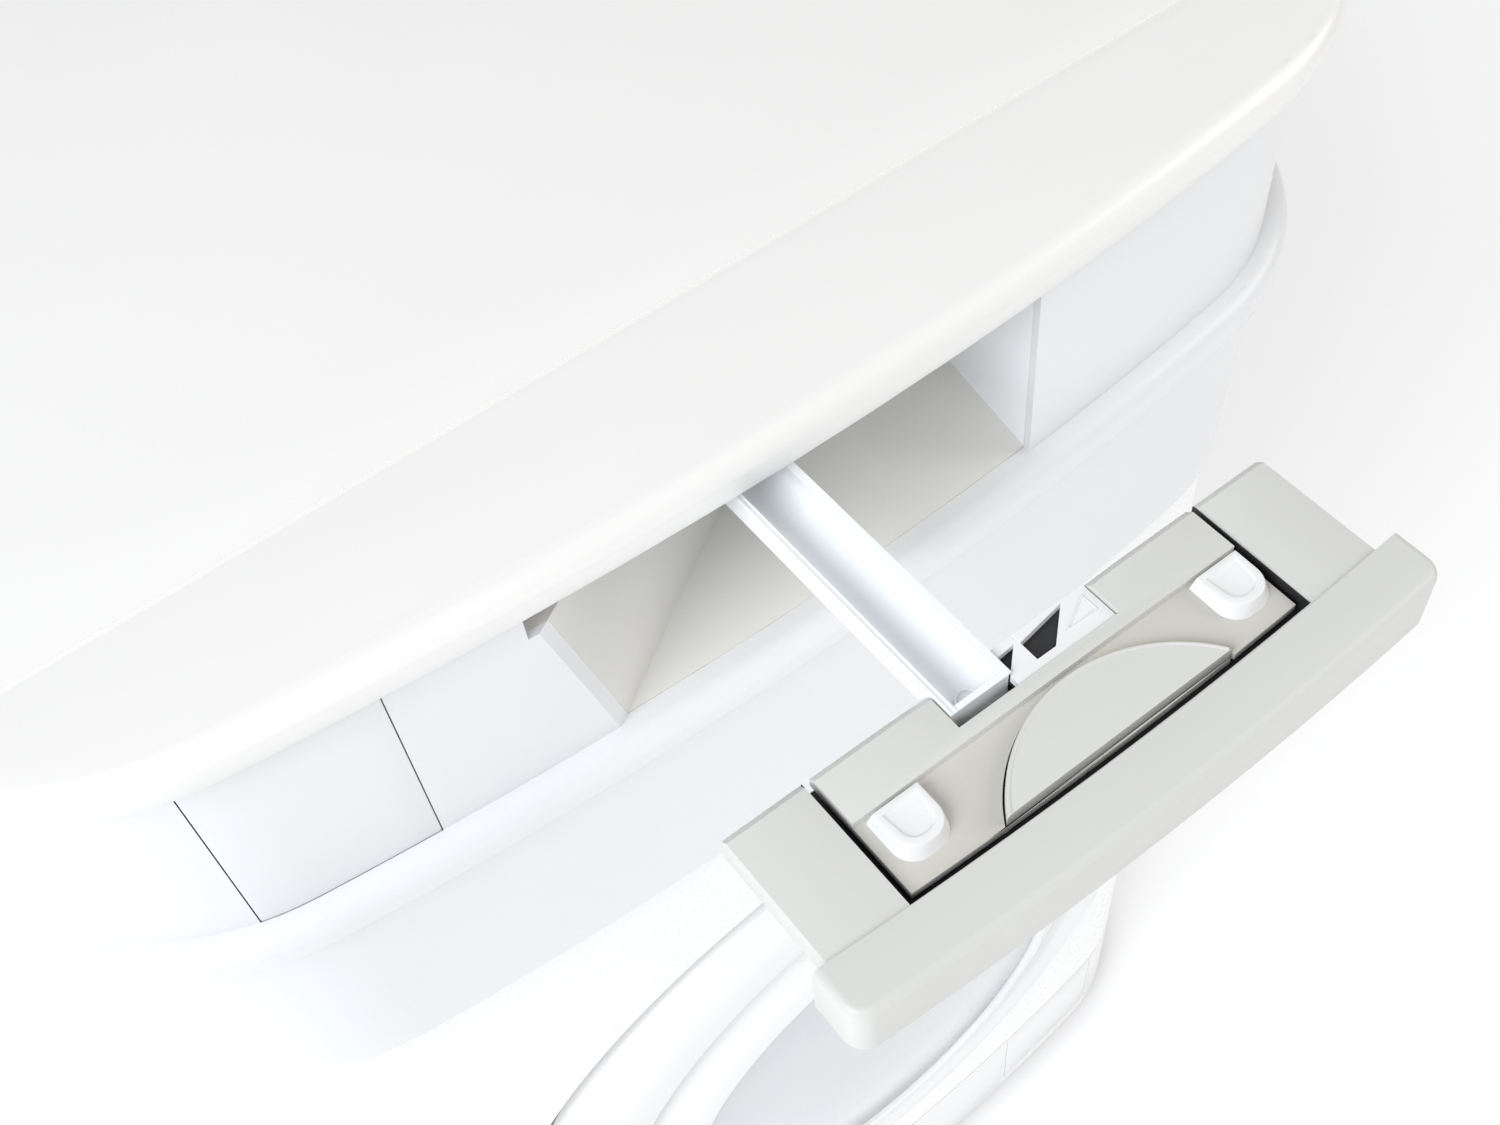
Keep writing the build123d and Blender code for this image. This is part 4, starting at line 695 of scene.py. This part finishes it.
for step in range(7):
    low = FLOOR_DROP + LOUVRES_LOW + step * LOUVRE_PITCH
    slab(bm, (-60, 60), LOUVRE, (low, low + 5))
bevelled(bm, 0.9)
piece("rear_pressings", bm, "cabinet", "galvanised")
bm = bmesh.new()
for x, height in CAP_CENTRES:
    middle = FLOOR_DROP + height
    peg(bm, x, middle, CAP, CAP_RADIUS, sides=32)
    slab(bm, (x - 9, x + 9), CAP_GRIP, (middle - 1.5, middle + 1.5))
bevelled(bm, 0.8)
piece("transit_caps", bm, "cabinet", "dark_plastic")
bm = bmesh.new()
for x, height in circle(0.0, COVER_HEIGHT, SCREW_CIRCLE, 8, start=math.radians(22.5)):
    peg(bm, x, height, SCREW_HEAD, SCREW_RADIUS, sides=6)
piece("cover_screws", bm, "cabinet", "zinc")

# shallow pressings in the side sheets
SIDE_FACE = 276.0
bm = bmesh.new()
for hand in (-1, 1):
    xs = sorted((hand * SIDE_FACE, hand * (SIDE_FACE + 1.0)))
    slab(bm, xs, (175, 535), (FLOOR_DROP + 130, FLOOR_DROP + 560))
bevelled(bm, 0.9, segments=3)
piece("side_pressings", bm, "cabinet", "enamel")

# lip that closes most of the gap under the control flap, and a strip behind its right edge
BAND_FRONT = 11.5
CORNER_X = -185.5                      # centre of the band's rounded corner
CORNER_DEPTH = 127.4
CORNER_R = 104.5
CORNER_START = -198.3
LIP_X = (-216.7, -155.1)
LIP_SETBACK = 0.08
LIP_THICKNESS = 2.1
LIP_HEIGHTS = (-91.86, -91.3)


def band_depth(x):
    """Depth of the fascia band's face on its left half."""
    if x > CORNER_START:
        return BAND_FRONT + bow(x)
    return CORNER_DEPTH - math.sqrt(CORNER_R**2 - (x - CORNER_X) ** 2)


bm = bmesh.new()
lip_front = [(x, band_depth(x) + LIP_SETBACK) for x in steps(*LIP_X, 16)]
strip(bm, lip_front, LIP_THICKNESS, *LIP_HEIGHTS)
piece("flap_lip", bm, "flap", SLOT_OF["control_flap"])
bm = bmesh.new()
slab(bm, (-155.7, -153.6), (22.0, 22.8), (-86.0, -3.0))
piece("flap_stop", bm, "cabinet", "white_console")

# grip ribs round the programme knob
KNOB_CENTRE = (-185.9, -25.0)          # x, height
RIB_CIRCLE = 14.9
RIB_RUN = (47.8, 55.3)
bm = bmesh.new()
for x, height in circle(*KNOB_CENTRE, RIB_CIRCLE, 24):
    peg(bm, x, height, RIB_RUN, 0.6, sides=8)
piece("knob_ribs", bm, "knob", SLOT_OF["programme_knob"])

# ---- stage and light --------------------------------------------------------
FLOOR_REACH = 20.0
FLOOR_GLOW = 0.3                       # brings the floor out white, as in the photo
SKY_COLOUR = (0.97, 0.985, 1.0, 1)
SKY_STRENGTH = 0.5

bm = bmesh.new()
bmesh.ops.create_grid(bm, x_segments=4, y_segments=4, size=FLOOR_REACH)
floor_mesh = bpy.data.meshes.new("floor")
bm.to_mesh(floor_mesh)
bm.free()
floor = bpy.data.objects.new("floor", floor_mesh)
bpy.context.scene.collection.objects.link(floor)
floor_material, _, floor_shader = material("floor", (0.8, 0.8, 0.81), 0.8)
floor_shader.inputs["Emission Color"].default_value = (1, 1, 1, 1)
floor_shader.inputs["Emission Strength"].default_value = FLOOR_GLOW
floor_mesh.materials.append(floor_material)

world = bpy.data.worlds.new("studio")
bpy.context.scene.world = world
world.use_nodes = True
world.node_tree.nodes["Background"].inputs["Color"].default_value = SKY_COLOUR
world.node_tree.nodes["Background"].inputs["Strength"].default_value = SKY_STRENGTH


def soft_light(name, spot, target, size, power, colour):
    """Square area light aimed at a point; places and size in metres, power in watts."""
    data = bpy.data.lights.new(name, "AREA")
    data.size = size
    data.energy = power
    data.color = colour
    light = bpy.data.objects.new(name, data)
    bpy.context.scene.collection.objects.link(light)
    light.location = spot
    aim = Vector(target) - Vector(spot)
    light.rotation_euler = aim.to_track_quat("-Z", "Y").to_euler()


soft_light("key", (-2.3, -0.85, 2.6), (0.0, -0.2, 0.8), 1.8, 72.0, (0.93, 0.965, 1.0))
soft_light("warm_side", (2.5, -1.2, 2.2), (0.0, -0.2, 0.8), 1.6, 26.0, (1.0, 0.95, 0.87))
soft_light("low_front", (0.1, -1.3, 0.12), (0.0, -0.2, 0.25), 0.8, 1.0, (1.0, 1.0, 1.0))
bpy.context.scene.view_settings.view_transform = "Standard"
